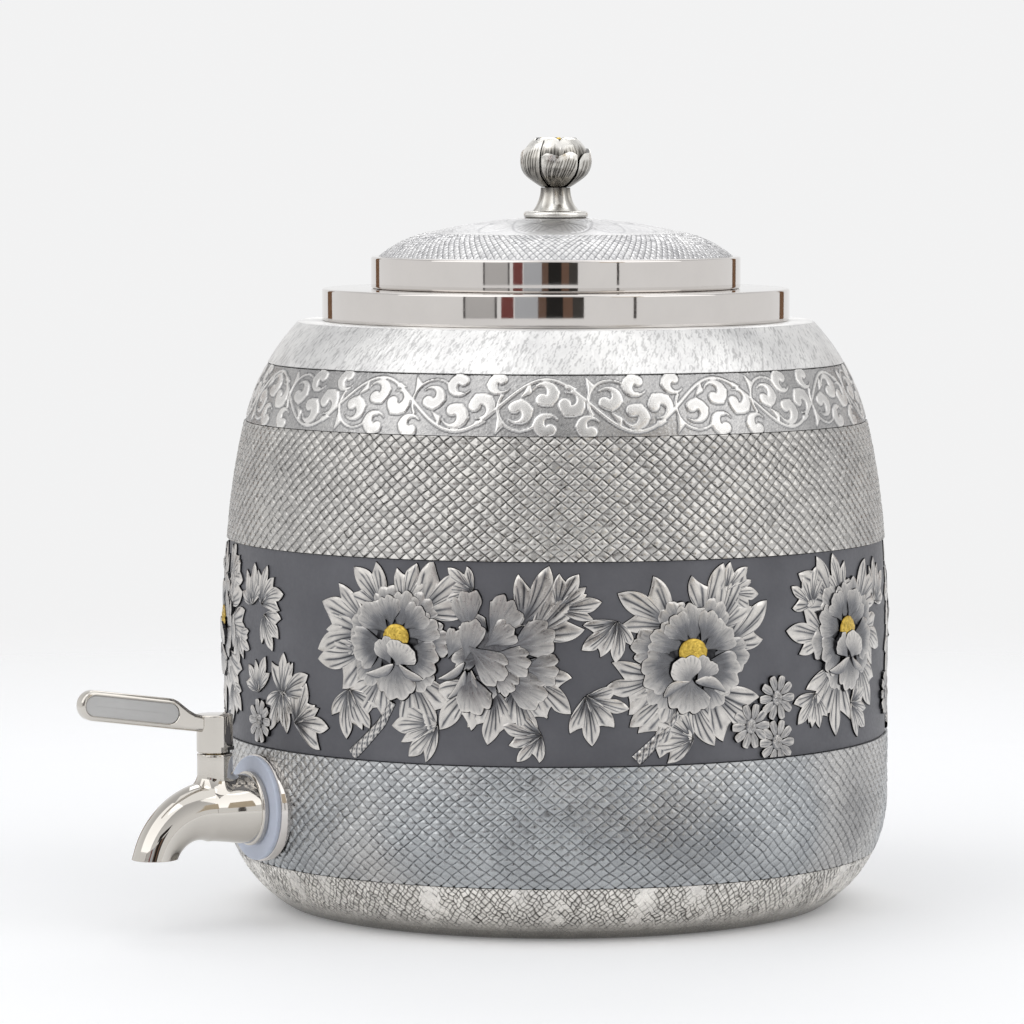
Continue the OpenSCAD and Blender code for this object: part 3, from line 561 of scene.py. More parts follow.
pan = Store()
cells(pan, wall_point(PAN_LOW, SEAM_BASE - SEAM_GAP, PAN_COUNT, PAN_ROWS, 0.15), PAN_COUNT, PAN_ROWS,
      np.array([-0.5, MARK_EDGE - 0.5, 0.5 - MARK_EDGE, 0.5]), scale_marks, 13)
# the foot is painted darker towards the floor as shade
pan.lathe([(0.02, 0.0), (FLOOR_R, 0.0), (FLOOR_R + 2.6, 0.0)]
          + wall_line(np.linspace(FOOT_LOW, PAN_LOW + 0.05, 6), PAN_FACE),
          [0.3, 0.3, 0.2] + list(np.linspace(0.2, 0.4, 6)), steps=300)
inside = wall_line(wall_levels(FLOOR_T, SEAM_BASE, 10)[::-1], -WALL)
inside[0] = (inside[0][0], SEAM_BASE)
pan.lathe(wall_line([SEAM_BASE - SEAM_GAP, SEAM_BASE - SEAM_LINE], [-0.1, -0.6]) + inside
          + [(60, FLOOR_T), (0.02, FLOOR_T)], [0.5, 0.04, 0.3] + [0.7] * 11, steps=240)
pan.make("pan_chasing", BASE, "vessel", ["base_pan"], sharp=60)


# scroll band: a running vine with curled lobes, worked out on one repeat
def stroke_field(s, t, strokes):
    """Distance inside the nearest stroke, negative outside them all."""
    best = np.full(s.shape, -9.0)
    for pts in strokes:
        p = np.asarray(pts, float)
        for a, b in zip(p[:-1], p[1:]):
            d = b[:2] - a[:2]
            k = np.clip(((s - a[0]) * d[0] + (t - a[1]) * d[1]) / max(d @ d, 1e-9), 0, 1)
            gap = np.hypot(s - a[0] - k * d[0], t - a[1] - k * d[1])
            best = np.maximum(best, a[2] + (b[2] - a[2]) * k - gap)
    return best


def curl(cx, cy, r0, r1, a0, a1, w0, w1, n):
    """Spiral stroke from radius r0 to r1 and from width w0 to w1."""
    k = np.linspace(0, 1, n)
    a = np.radians(a0 + (a1 - a0) * k)
    r = r0 + (r1 - r0) * k
    return np.stack([cx + r * np.cos(a), cy + r * np.sin(a), w0 + (w1 - w0) * k ** 1.5], -1)


def comma(cx, cy, a0, turn, size):
    """Plump hooked lobe: a thin tail that winds in and swells to a head with a scalloped outer edge."""
    k = np.linspace(0, 1, 18)
    a = np.radians(a0 + turn * k)
    r = size * (2.7 - 1.3 * k)
    w = size * (0.2 + 1.2 * smooth(0, 0.6, k) - 0.1 * smooth(0.75, 1, k))
    out = [np.stack([cx + r * np.cos(a), cy + r * np.sin(a), w], -1)]
    for at, wide in ((0.56, 0.72), (0.8, 0.8), (1.0, 1.45)):
        b = math.radians(a0 + turn * at)
        far = size * (3.55 - 1.3 * at if at < 1 else 1.35)
        spot = (cx + far * math.cos(b), cy + far * math.sin(b), wide * size)
        out.append(np.array([spot, spot]))
    return out


SCROLL_REPEATS = 11
SCROLL_COLS = 165
SCROLL_ROWS = 54
SCROLL_WAVE = 56.0
SCROLL_H = 20.0
SCROLL_FACE = -0.35


def valley():
    """Strokes inside one hollow of the vine, with their middle at 0 and the field SCROLL_H high."""
    out = [curl(-7.6, 11.2, 7.6, 6.8, 215, 55, 0.5, 0.4, 22),
           curl(-0.2, 18.0, 4.0, 4.4, 230, 285, 0.4, 0.5, 8)]
    out += comma(-8.6, 12.2, 140, -270, 1.36)
    out += comma(-0.6, 6.4, 200, 270, 1.42)
    out += comma(7.6, 9.4, 250, 280, 1.42)
    out += comma(0.4, 16.4, 330, -270, 1.32)
    out += comma(13.2, 17.0, 330, -260, 1.25)
    out.append([(-5.2, 2.9, 0.15), (-5.6, 5.4, 1.1), (-8.0, 7.6, 0.1)])
    out.append([(-14.8, 13.6, 0.2), (-14.0, 16.4, 1.2), (-15.4, 19.4, 0.1)])
    out.append([(5.4, 3.0, 0.2), (7.0, 4.0, 1.0), (9.6, 4.6, 0.1)])
    return out


def scroll_field():
    """Depth inside the strokes over the whole band, worked out on one repeat."""
    wave = SCROLL_WAVE
    ss, tt = np.meshgrid(np.arange(SCROLL_COLS) * (wave / SCROLL_COLS),
                         np.linspace(0, SCROLL_H, SCROLL_ROWS))
    x = np.linspace(-0.6 * wave, 1.6 * wave, 120)
    vine = [np.stack([x, SCROLL_H / 2 + 8.5 * np.cos(2 * math.pi * x / wave), np.full(120, 0.55)], -1)]
    for shift in (-wave, 0.0, wave):
        for p in valley():
            p = np.asarray(p, float)
            vine.append(p + np.array([shift + wave / 2, 0, 0]))
            vine.append(np.stack([p[:, 0] + shift, SCROLL_H - p[:, 1], p[:, 2]], -1))
    near = [p for p in vine if p[:, 0].max() > -4 and p[:, 0].min() < wave + 4]
    return np.tile(stroke_field(ss, tt, near), (1, SCROLL_REPEATS))


scroll = Store()
field = scroll_field()
grain = np.random.default_rng(21).normal(0, 1, field.shape)
raised = smooth(-0.1, 0.25, field)
height = -0.6 + 0.4 * raised + 0.1 * np.sqrt(np.clip(field, 0, 1.5)) + 0.03 * grain * (1 - raised)
outline = np.exp(-((field + 0.12) / 0.2) ** 2)
# the middle of each lobe is painted a little darker as shade, leaving its rim lighter
tone = 0.58 + 0.06 * grain * (1 - raised) + 0.42 * raised - 0.28 * outline - 0.14 * smooth(0.5, 1.4, field)
wall_skin(scroll, wall_levels(SEAM_UPPER + SEAM_GAP, SEAM_SCROLL - SEAM_GAP, SCROLL_ROWS), height, tone)
ring_back(scroll, SEAM_UPPER, SEAM_SCROLL, SCROLL_FACE)
scroll.make("scroll_chasing", SCROLL, "vessel", ["scroll_band"], sharp=60)

# shoulder with upright chisel ticks
TICK_COLS = 2000
TICK_ROWS = 40
SHOULDER_FACE = -0.16
SHOULDER_EDGE = 0.3

shoulder = Store()
ticks = np.random.default_rng(31).normal(0, 1, (TICK_ROWS, TICK_COLS))
ticks = sum(np.roll(ticks, k, 0) for k in range(-2, 3)) / math.sqrt(5)
ticks = (ticks + np.roll(ticks, 1, 1)) / math.sqrt(2)
ticks = np.stack([np.roll(row, round(0.5 * k)) for k, row in enumerate(ticks)])
dent = np.clip(ticks, -2.2, 2.2)
mark = smooth(0.1, 1.1, ticks)
wall_skin(shoulder, wall_levels(SEAM_SCROLL + SEAM_GAP, SHOULDER_Z - SHOULDER_EDGE, TICK_ROWS),
          SHOULDER_FACE + 0.04 * dent - 0.06 * mark, 0.85 + 0.05 * dent - 0.56 * mark)
neck_r = MOUTH_R + COLLAR_WALL + 0.05
inside = wall_line(wall_levels(SEAM_SCROLL, SHOULDER_Z - 2.4, 8)[::-1], -WALL)
inside[-1] = (inside[-1][0], SEAM_SCROLL)
shoulder.lathe(wall_line([SHOULDER_Z - SHOULDER_EDGE], SHOULDER_FACE)
               + [(SHOULDER_R - 0.5, SHOULDER_Z), (neck_r, SHOULDER_Z), (neck_r, SHOULDER_Z - WALL)]
               + inside + wall_line([SEAM_SCROLL + SEAM_LINE, SEAM_SCROLL + SEAM_GAP],
                                    [SHOULDER_FACE - SEAM_DEPTH, SHOULDER_FACE]),
               [0.8, 0.85, 0.75, 0.6] + [0.6] * 8 + [SEAM_TONE, 0.6], steps=300)
shoulder.make("shoulder_chasing", SHOULDER, "vessel", ["shoulder_ring"], sharp=60)


# polished rings
def rounded_side(r, z0, z1):
    """Upright side of a ring with both its edges rounded."""
    q = RING_ROUND
    return arc(r - q, z0 + q, q, -90, 0) + arc(r - q, z1 - q, q, 0, 90)


collar = Store()
collar_low = SHOULDER_Z - COLLAR_DEEP
collar.lathe(rounded_side(COLLAR_R, SHOULDER_Z, COLLAR_TOP)
             + [(MOUTH_R + 0.5, COLLAR_TOP), (MOUTH_R, COLLAR_TOP - 0.5), (MOUTH_R, collar_low),
                (MOUTH_R + COLLAR_WALL, collar_low), (MOUTH_R + COLLAR_WALL, SHOULDER_Z)],
             0.9, steps=384, closed=True)
collar.make("collar_polish", POLISH, "vessel", ["neck_collar"])

rim = Store()
rim.lathe(rounded_side(LID_R, COLLAR_TOP, RIM_TOP)
          + [(SKIRT_R + 0.05, RIM_TOP), (SKIRT_R + 0.05, COLLAR_TOP)], 0.9, steps=384, closed=True)
rim.make("rim_polish", POLISH, "lid", ["lid_rim"])


# lid dome
def dome_z(r):
    """Height of the top of the dome at the radius r."""
    r = np.asarray(r, float)
    crown = DOME_TOP - CROWN + np.sqrt(np.maximum(CROWN ** 2 - r ** 2, 0))
    cx = BREAK_R - EDGE_CURVE * math.sin(BREAK_LEAN)
    cz = BREAK_Z - EDGE_CURVE * math.cos(BREAK_LEAN)
    edge = cz + np.sqrt(np.maximum(EDGE_CURVE ** 2 - (r - cx) ** 2, 0))
    return np.where(r < BREAK_R, crown, edge)


def on_dome(turn, r, h):
    """Points at the height h over the dome."""
    return np.stack([r * np.cos(turn), r * np.sin(turn), dome_z(r) + h], -1)


LINE_R = 42.9
DOME_T = 2.05
SEAT_R = 8.8
SEAT_T = 2.6
DOME_COUNT = 150
DOME_ROWS = 5.5
DOME_START = DOME_R - 0.1


def dome_point(s, t, h):
    """Places cells on the dome's edge, from its outside to the line."""
    r = DOME_START - t / DOME_ROWS * (DOME_START - LINE_R - 0.6)
    return on_dome(s * 2 * math.pi / DOME_COUNT, r, h)


dome = Store()
cells(dome, dome_point, DOME_COUNT, DOME_ROWS, PAD_CUTS,
      chased(depth=0.2, tilt=0.16, lean=-0.05, spread=0.13, rim=0.0, groove=0.18), 41)


def line(value, width):
    """Fine cut along the places where value is 0."""
    return np.exp(-(value / width) ** 2)


# engraved rosette inside the line: waves of petals, and veins within the outer ones
ROSETTE_R = 32.5
ROSETTE_COLS = 900
ROSETTE_ROWS = 64
rr = np.linspace(LINE_R - 0.5, 10.2, ROSETTE_ROWS)[:, None].repeat(ROSETTE_COLS, 1)
tt = turns(ROSETTE_COLS)[None, :].repeat(ROSETTE_ROWS, 0)
cuts = np.zeros_like(rr)
for mid, swing, fold, turn0 in [(ROSETTE_R, 7.5, 8, 0.0), (ROSETTE_R, -7.5, 8, 0.0), (22.5, 5.5, 8, 0.2),
                                (22.5, -5.5, 8, 0.2), (16.5, 2.4, 16, 0.0)]:
    wave = mid + swing * np.cos(fold * (tt - turn0))
    slope = np.abs(swing * fold * np.sin(fold * (tt - turn0))) / mid
    cuts = np.maximum(cuts, line((rr - wave) / np.sqrt(1 + slope ** 2), 0.42))
within = smooth(0, 0.8, 7.2 * np.abs(np.cos(8 * tt)) - np.abs(rr - ROSETTE_R))
veins = line(np.sin(64 * tt + 0.16 * (rr - ROSETTE_R) * np.sign(np.cos(8 * tt))) * 0.6, 0.2) * within
cuts = np.clip(np.maximum(cuts, 0.75 * veins), 0, 1)
stipple = np.random.default_rng(42).normal(0, 1, rr.shape) * (1 - within)
dome.grid(on_dome(tt, rr, -0.1 - 0.14 * cuts + 0.025 * stipple),
          np.clip(0.84 + 0.05 * stipple - 0.3 * cuts, 0, 1), wrap=True)
bead = [(LINE_R + off, float(dome_z(LINE_R + off)) + h)
        for off, h in ((0.62, -0.2), (0.3, 0.08), (-0.2, 0.08), (-0.5, -0.2))]
dome.lathe(bead, [0.2, 1.0, 1.0, 0.2], steps=300)
under = [(r, float(dome_z(r)) - DOME_T) for r in (10.0, 20, 30, 38, 44.5, 49, 53, 56.4)]
dome.lathe([(10.4, SEAT_Z + 0.02), (SCREW_HOLE, SEAT_Z), (SCREW_HOLE, SEAT_Z - SEAT_T),
            (SEAT_R, SEAT_Z - SEAT_T)]
           + under + [(56.6, RIM_TOP), (DOME_R, RIM_TOP), (DOME_R - 0.05, RIM_TOP + 0.15)], 0.7, steps=240)
dome.make("dome_chasing", DOME, "lid", ["lid_dome"], sharp=60)

# knob
flange = Store()
round_r = FLANGE_T / 2
# the rounded edge is painted darker underneath as shade and brighter towards its side and top as light
flange.lathe([(SCREW_HOLE, SEAT_Z), (SEAT_R, SEAT_Z)]
             + arc(FLANGE_R - round_r, SEAT_Z + round_r, round_r, -90, 90, 13)
             + [(8.9, STEM_Z), (8.6, STEM_Z - 0.25), (8.1, STEM_Z), (SCREW_HOLE, STEM_Z)],
             [0.7, 0.6] + [0.55, 0.6, 0.7, 0.8, 0.9, 0.95, 1, 1, 1, 0.95, 0.95, 0.95, 0.9]
             + [0.9, 0.15, 0.8, 0.7], steps=120, closed=True)
flange.make("flange_polish", BUD, "lid", ["knob_flange"])

FLUTES = 9
stem = Store()
tt = turns(144)[None, :].repeat(22, 0)
kk = np.linspace(0, 1, 22)[:, None].repeat(144, 1)
side = (STEM_H ** 2 + STEM_FLARE ** 2) / (2 * STEM_FLARE)
flute = 0.5 + 0.5 * np.cos(FLUTES * tt)
rad = STEM_R + side - np.sqrt(side ** 2 - (STEM_H * (1 - kk)) ** 2)
rad = rad - 0.42 * (1 - flute) * smooth(0.05, 0.4, kk)
# the flute hollows are painted darker as shade, and the stem darkens upward as painted shadow under the bud
stem.grid(np.stack([rad * np.cos(tt), rad * np.sin(tt), STEM_Z + STEM_H * kk], -1),
          np.clip((0.5 + 0.5 * flute) * (1.05 - 0.85 * kk ** 1.6), 0, 1), wrap=True)
stem.lathe([(2.1, STEM_Z), (STEM_R + STEM_FLARE, STEM_Z)], 0.5, steps=96)
stem.lathe([(STEM_R, BUD_Z), (0.02, BUD_Z)], 0.2, steps=96)
stem.make("stem_fluting", BUD, "lid", ["knob_stem"])


def skirted(store, a, b, h, tone, place, low, splay):
    """Patch with a dark skirt down to low along its sides and far end.

    The skirt is painted black as the shade in the gap under the patch's edge.
    Rows run outward and columns to the left.
    """
    aa, bb, hh, tn = (np.pad(x, ((0, 2), (2, 2)), "edge") for x in (a, b, h, tone))
    rows = slice(None)

    def push(i, j, i0, j0, far):
        """Move edge points outward, away from their neighbours inside the patch."""
        da = aa[i, j] - aa[i0, j0]
        db = bb[i, j] - bb[i0, j0]
        n = np.maximum(np.hypot(da, db), 1e-6)
        aa[i, j] += far * da / n
        bb[i, j] += far * db / n

    for far, step in ((0.18 * splay, 1), (splay, 0)):
        push(rows, step, rows, 3, far)
        push(rows, -1 - step, rows, -4, far)
        push(-1 - step, rows, -4, rows, far)
    # the skirt and the row next to it are painted black as shade
    for sel in ((rows, 1), (rows, -2), (-2, rows)):
        hh[sel] = hh[sel] - 0.12 * (hh[sel] - low)
        tn[sel] = 0.0
    for sel in ((rows, 0), (rows, -1), (-1, rows)):
        hh[sel] = low
        tn[sel] = 0.0
    quads = grid_quads(*aa.shape)[:, [0, 3, 2, 1]]
    store.add(place(aa, bb, hh), quads, np.clip(tn, 0, 1))


def strokes(rng, rows, cols, count, start, stop):
    """Short graver cuts along the columns of a patch, each with its own length."""
    cut = np.zeros((rows, cols))
    u = np.linspace(0, 1, rows)
    for k in range(count):
        j = int(round((k + 0.5 + rng.uniform(-0.3, 0.3)) / count * (cols - 1)))
        low = start + rng.uniform(0, 0.22)
        high = stop - rng.uniform(0, 0.12)
        depth = smooth(low, low + 0.12, u) * (1 - smooth(high, high + 0.05, u)) * rng.uniform(0.6, 1.0)
        for side, share in ((0, 1.0), (-1, 0.12), (1, 0.12)):
            if 1 < j + side < cols - 2:
                cut[:, j + side] = np.maximum(cut[:, j + side], share * depth)
    return cut


# bud: petals on an egg-shaped form
BUD_R = 11.9
BUD_HALF = 10.2
BUD_CORE = -2.2
PETAL_FOOT = -8.5
PETAL_TOP = 7.95


def on_bud(turn, z, h):
    """Points at the distance h from the egg-shaped form."""
    r = BUD_R * np.sqrt(np.maximum(1 - (z / BUD_HALF) ** 2, 0.02)) + h
    r = r * (1 - 0.12 * smooth(-4.0, -BUD_DEEP, z))
    return np.stack([r * np.cos(turn), r * np.sin(turn), BUD_C + z], -1)


bud = Store()
core = [on_bud(0.0, z, BUD_CORE) for z in np.linspace(-BUD_DEEP, 7.2, 16)]
# the core seen through the gaps between the petals is painted near black as shade
bud.lathe([(0.02, BUD_Z)] + [(p[0], p[2]) for p in core] + [(3.0, BUD_C + 7.0), (0.02, BUD_C + 6.4)],
          [0.0] + [0.03] * 16 + [0.1, 0.1], steps=96)


def bud_petal(turn0, half, crest, heights, tones, grave, seed):
    """Broad petal of the bud.

    crest is its top, its rise to the right, its notch and its fall at the sides; grave is the depth of the
    cuts, their slant and the strength of the painted highlight on the rim.
    """
    rng = np.random.default_rng(seed)
    rows, cols = 20, 41
    u, v = patch(rows, cols)
    turn = math.radians(turn0) + math.radians(half) * v * (0.86 + 0.14 * smooth(0, 0.6, u))
    top, rise, notch, fall = crest
    edge = top + rise * v - notch * np.clip(1 - np.abs(v + 0.1) / 0.62, 0, 1)
    edge = edge - fall * (top - PETAL_FOOT) * np.abs(v) ** 4
    z = PETAL_FOOT + (np.minimum(edge, PETAL_TOP) - PETAL_FOOT) * u
    low, high, rim = heights
    h = low + (high - low) * np.sin(np.pi * np.clip(0.75 * u, 0, 0.5)) - 0.3 * v ** 2
    h = h + rim * smooth(0.86, 1.0, u)
    depth, slant, painted_rim_highlight = grave
    cut = strokes(rng, rows, cols, 13, 0.1, 0.86)
    at = np.arange(cols)
    cut = np.stack([np.interp(at - slant * (k - 0.5 * rows), at, row) for k, row in enumerate(cut)])
    # tones paint the petal's foot dark as shade and the rim gets a painted highlight
    dark, bright, start, stop = tones
    tone = dark + (bright - dark) * smooth(start, stop, u) + painted_rim_highlight * smooth(0.8, 0.88, u) - depth * cut
    tone = tone + 0.05 * rng.normal(0, 1, (rows, cols))
    skirted(bud, turn, z, np.minimum(h - 0.1 * depth * cut, 0.26), tone, on_bud, BUD_CORE - 0.1, 0.02)


# inner petals close the top, painted dark low down as the shadow of the outer ones; the outer ones leave
# gaps onto the core painted dark as shade, each with its turn, half width and crest
FRONT = -21
for k in range(5):
    bud_petal(FRONT + 36 + 72 * k, 40, (PETAL_TOP, 0, 0.1, 0.11), (-1.9, -0.75, -0.1),
              (0.1, 0.85, 0.55, 0.9), (0.5, 0.0, 0.3), 60 + k)
OUTER = [(-3, 31, (3.2, 0.2, 1.5, 0.12), 0.6), (70, 38, (3.8, 1.2, 1.0, 0.18), 0.3),
         (144, 34, (3.0, 1.0, 1.5, 0.16), 0.3), (214, 33, (3.4, -1.0, 1.5, 0.16), -0.3),
         (286, 36, (4.8, 3.4, 0.3, 0.1), 0.2)]
for k, (at, half, crest, slant) in enumerate(OUTER):
    bud_petal(FRONT + at, half, crest, (-0.9, 0.1, 0.18), (0.32, 0.86, 0.1, 0.85), (1.05, slant, 0.75),
              70 + k)
bud.make("bud_petals", BUD, "lid", ["knob_bud"], sharp=55)


def ball(store, centre, r, tone):
    """Small round bead."""
    a = np.linspace(-math.pi / 2, math.pi / 2, 9)[:, None]
    t = turns(16)[None, :]
    pts = [centre[0] + r * np.cos(a) * np.cos(t), centre[1] + r * np.cos(a) * np.sin(t),
           centre[2] + r * np.sin(a) + 0 * t]
    store.grid(np.stack(pts, -1), tone, wrap=True)


anthers = Store()
# the disc's underside is painted darker than its top as shade
anthers.lathe([(0.02, BUD_C + 6.2), (3.8, BUD_C + 6.2), (3.6, BUD_C + 7.2), (2.0, BUD_C + 7.5),
               (0.02, BUD_C + 7.6)], [0.2, 0.3, 0.6, 0.6, 0.6], steps=64)
for k, t in enumerate(turns(8) + math.radians(FRONT)):
    ball(anthers, (4.9 * math.cos(t), 4.9 * math.sin(t), BUD_C + 7.25 + 0.06 * math.sin(3 * k)), 0.68, 0.95)
for t in turns(4):
    ball(anthers, (1.4 * math.cos(t), 1.4 * math.sin(t), BUD_C + 7.3), 0.65, 0.85)
anthers.make("anther_beads", GOLD, "lid", ["knob_anthers"], sharp=0)


# flowers of the frieze
BLOSSOM_R = 17.8
DAISY_R = 7.2
LEAF_LEN = 15.0
FRIEZE_MID = (SEAM_LOWER + SEAM_FRIEZE) / 2
FRIEZE_H = SEAM_FRIEZE - SEAM_LOWER

# the places are those of the part's source: turn, share of the frieze's height from its middle, size
BLOSSOMS = [(-112, 0.08, 0.95), (-58, 0.1, 0.95), (-40, 0.05, 0.95), (-8, 0.03, 1), (27, 0.08, 1),
            (65, 0.14, 0.9), (102, -0.02, 1), (140, 0.14, 0.9), (174, -0.02, 1), (206, 0.12, 0.95),
            (230, -0.1, 0.95)]
SIDE_VIEWS = (2, 7)
DAISIES = [(-121, 0.36), (-91, -0.37), (3, -0.33), (8.5, -0.2), (8.5, -0.42), (48, -0.28), (121, -0.25),
           (156, -0.25), (190, 0.3), (223, 0.3)]
# turn, share of height, way it points from upright and size
LEAVES = [(-119, -0.36, 75, 0.9), (-104, 0.37, -60, 0.9), (-103, -0.3, 210, 0.9),
          (-100, -0.02, 195, 0.8), (-95, 0.3, 12, 0.85), (-89, 0.3, -35, 0.9), (-88, 0.1, 215, 0.8),
          (-92, -0.14, 8, 0.8), (-82, -0.13, -28, 0.95), (-84.5, -0.3, 168, 0.95), (-77, -0.3, -62, 1),
          (-67, -0.26, 185, 1), (-54, -0.34, 110, 1), (-47, 0.38, 70, 0.7), (-28, 0.32, -60, 0.9),
          (-24, -0.24, 215, 1), (-22, 0.12, 160, 0.9), (-36, -0.37, 110, 0.8), (1, 0.36, -75, 0.8),
          (-11, -0.36, 80, 0.9), (17, -0.28, 160, 0.8), (16, 0.32, 25, 0.8), (32, -0.3, 255, 0.9),
          (42, 0.3, -35, 1), (53, -0.1, 150, 1), (74, -0.24, 225, 1), (84, 0.3, 120, 0.9),
          (95, -0.36, 85, 0.8), (121, 0.12, 210, 1), (134, -0.22, 145, 1), (146, -0.25, 240, 0.9),
          (158, 0.3, 135, 0.9), (168, -0.36, 75, 0.8), (184, -0.35, -80, 0.9), (193, -0.1, 35, 1),
          (212, -0.24, 140, 1), (218, 0, 15, 0.8)]
TWIGS = (-62, -13, 60, 128, 180, 226)

flowers = Store()
gold = Store()
greens = Store()


def frieze_place(turn0, z0):
    """Places a (along the wall), b (up it) and h (off the ground) round one spot of the frieze."""
    def place(a, b, h):
        z = np.clip(z0 + b, SEAM_LOWER + 0.5, SEAM_FRIEZE - 0.5)
        return on_wall(math.radians(turn0) + a / (BELLY_R - RECESS), z, h - RECESS)
    return place


def petal(place, foot, way, size, half, heights, low, seed, tones, lobes, hatch):
    """Broad shell with a scalloped rim.

    foot is its base, way the side it faces and half its half angle.
    hatch is the count and the depth of its cuts.
    """
    rng = np.random.default_rng(seed)
    rows, cols = 12, 45
    u, v = patch(rows, cols)
    phase = rng.uniform(0, 2 * math.pi, 2)
    scallop = np.abs(np.sin(0.5 * np.pi * lobes * (v + 1) + 0.5 * np.sin(2 * v + phase[0])))
    rim = 0.95 - 0.2 * np.abs(v) ** 2.6 + 0.105 * scallop ** 0.8 + 0.05 * np.cos(2.4 * v + phase[1])
    rho = size * (rim + 0.014 * np.sin(17 * v + phase[0])) * (0.04 + 0.96 * u)
    ang = way + half * v * (0.7 + 0.3 * smooth(0, 0.7, u))
    h0, h1, h2 = heights
    crest = 0.72
    rise = h0 + (h1 - h0) * smooth(0, crest, u)
    h = np.where(u < crest, rise, h1 + (h2 - h1) * ((u - crest) / (1 - crest)) ** 2)
    cut = strokes(rng, rows, cols, hatch[0], 0.6, 1.0)
    h = h - 0.32 * v ** 2 * u + 0.04 * (scallop - 0.6) * smooth(0.55, 1, u) - 0.02 * cut
    # the foot is painted darker, partly patina in the hollow and partly painted shade under the petals
    # above; the rim gets a painted highlight and the sides painted shade
    dark, bright, start = tones
    tone = dark + (bright - dark) * smooth(start, 0.98, u) - hatch[1] * cut
    tone = tone + 0.16 * smooth(0.9, 1.0, u) - 0.12 * np.abs(v) ** 5
    tone = tone + 0.03 * rng.normal(0, 1, (rows, cols))
    skirted(flowers, foot[0] + rho * np.cos(ang), foot[1] + rho * np.sin(ang), h, tone, place, low, 0.42)


def lip(place, foot, tip, wide, heights, low, seed):
    """Turned-over edge of a petal: a slim bright blade from foot to tip."""
    rng = np.random.default_rng(seed)
    u, v = patch(14, 11)
    d = np.array(tip) - np.array(foot)
    far = np.hypot(*d)
    side = np.array([-d[1], d[0]]) / far
    w = wide * np.sin(np.pi * (0.04 + 0.9 * u ** 0.8)) * v + 0.12 * far * np.sin(np.pi * u)
    # one side of the blade is painted lighter as light and the other darker as shade
    tone = 0.62 + 0.3 * v * np.sign(side[1]) + 0.04 * rng.normal(0, 1, (14, 11))
    skirted(flowers, foot[0] + d[0] * u + side[0] * w, foot[1] + d[1] * u + side[1] * w,
            heights[0] + (heights[1] - heights[0]) * u - 0.2 * v ** 2, tone, place, low, 0.25)


def bezier(p, c, q, n):
    """Curve from p to q drawn towards c."""
    t = np.linspace(0, 1, n)[:, None]
    return (1 - t) ** 2 * np.array(p) + 2 * t * (1 - t) * np.array(c) + t ** 2 * np.array(q)


def leaf_side(rng, sign):
    """Half of a leaf's outline from its foot to its tip, with one pointed side lobe."""
    reach = rng.uniform(0.6, 0.8)
    spread = sign * rng.uniform(0.34, 0.5)
    notch = (reach * rng.uniform(0.8, 0.9), sign * rng.uniform(0.13, 0.19))
    outer = bezier((0, sign * 0.03), (0.36 * reach / 0.7, 1.18 * spread), (reach, spread), 13)
    inner = bezier((reach, spread), (reach * 0.88, 0.6 * spread), notch, 6)
    upper = bezier(notch, (0.8, sign * 0.2), (1, 0), 11)
    return np.concatenate([outer[:-1], inner[:-1], upper])


def leaf(place, root, angle, size, lift, seed):
    """Three-pointed leaf with graver cuts; root is its foot and angle the way it points."""
    rng = np.random.default_rng(seed)
    edge = np.concatenate([leaf_side(rng, -1), leaf_side(rng, 1)[::-1][1:]])
    rows, cols = 10, len(edge)
    u = np.linspace(0, 1, rows)[:, None]
    x = edge[None, :, 0] * u
    y = edge[None, :, 1] * u
    way = angle + rng.uniform(-0.3, 0.3) * x
    cut = strokes(rng, rows, cols, 13, 0.2, 0.93)
    rib = np.exp(-((np.arange(cols) - cols // 2) / 1.6) ** 2)[None, :]
    h = lift + 0.12 + 0.62 * np.sin(np.pi * (0.04 + 0.78 * u)) - 0.06 * cut
    h = h + 0.12 * rib * np.sin(np.pi * u)
    # the foot is painted dark as shade where the leaf goes under
    tone = 0.14 + 0.8 * smooth(0.1, 0.72, u) - 0.85 * cut + 0.045 * rng.normal(0, 1, (rows, cols))
    skirted(greens, root[0] + size * (x * np.cos(way) - y * np.sin(way)),
            root[1] + size * (x * np.sin(way) + y * np.cos(way)), h, tone, place, -0.02, 0.4)


def dome_patch(store, place, centre, ra, rb, h0, h1, tone, bumps, seed):
    """Low oval cushion with a stippled top and its edge painted dark as shade."""
    rng = np.random.default_rng(seed)
    t = turns(36)[None, :]
    k = np.linspace(1, 0.02, 10)[:, None]
    dots = rng.normal(0, 1, (10, 36)) * bumps
    h = h0 + (h1 - h0) * np.sqrt(np.clip(1 - k ** 2, 0, 1)) + 0.12 * dots
    shade = np.clip(tone + 0.22 * dots - 0.5 * (k > 0.93), 0, 1)
    store.grid(place(centre[0] + ra * k * np.cos(t), centre[1] + rb * k * np.sin(t), h), shade, wrap=True)


# petal layers of a blossom from the lowest: heights at foot, crest and rim, and how low the edge comes
LAYERS = [((0.5, 1.1, 0.85), 0.0), ((0.85, 1.5, 1.3), 0.3), ((1.15, 1.8, 1.65), 0.6),
          ((1.4, 1.95, 1.6), 0.8), ((1.75, 2.05, 2.1), 1.1), ((1.9, 2.2, 2.25), 1.2)]
# tones of a petal: at its foot (partly patina, partly painted shade), at its rim, and where it starts to
# brighten
UNDER = (0.3, 0.74, 0.5)
BACK = (0.42, 0.78, 0.3)
DEEP = (0.32, 0.73, 0.34)
FOLD = (0.5, 0.93, 0.2)
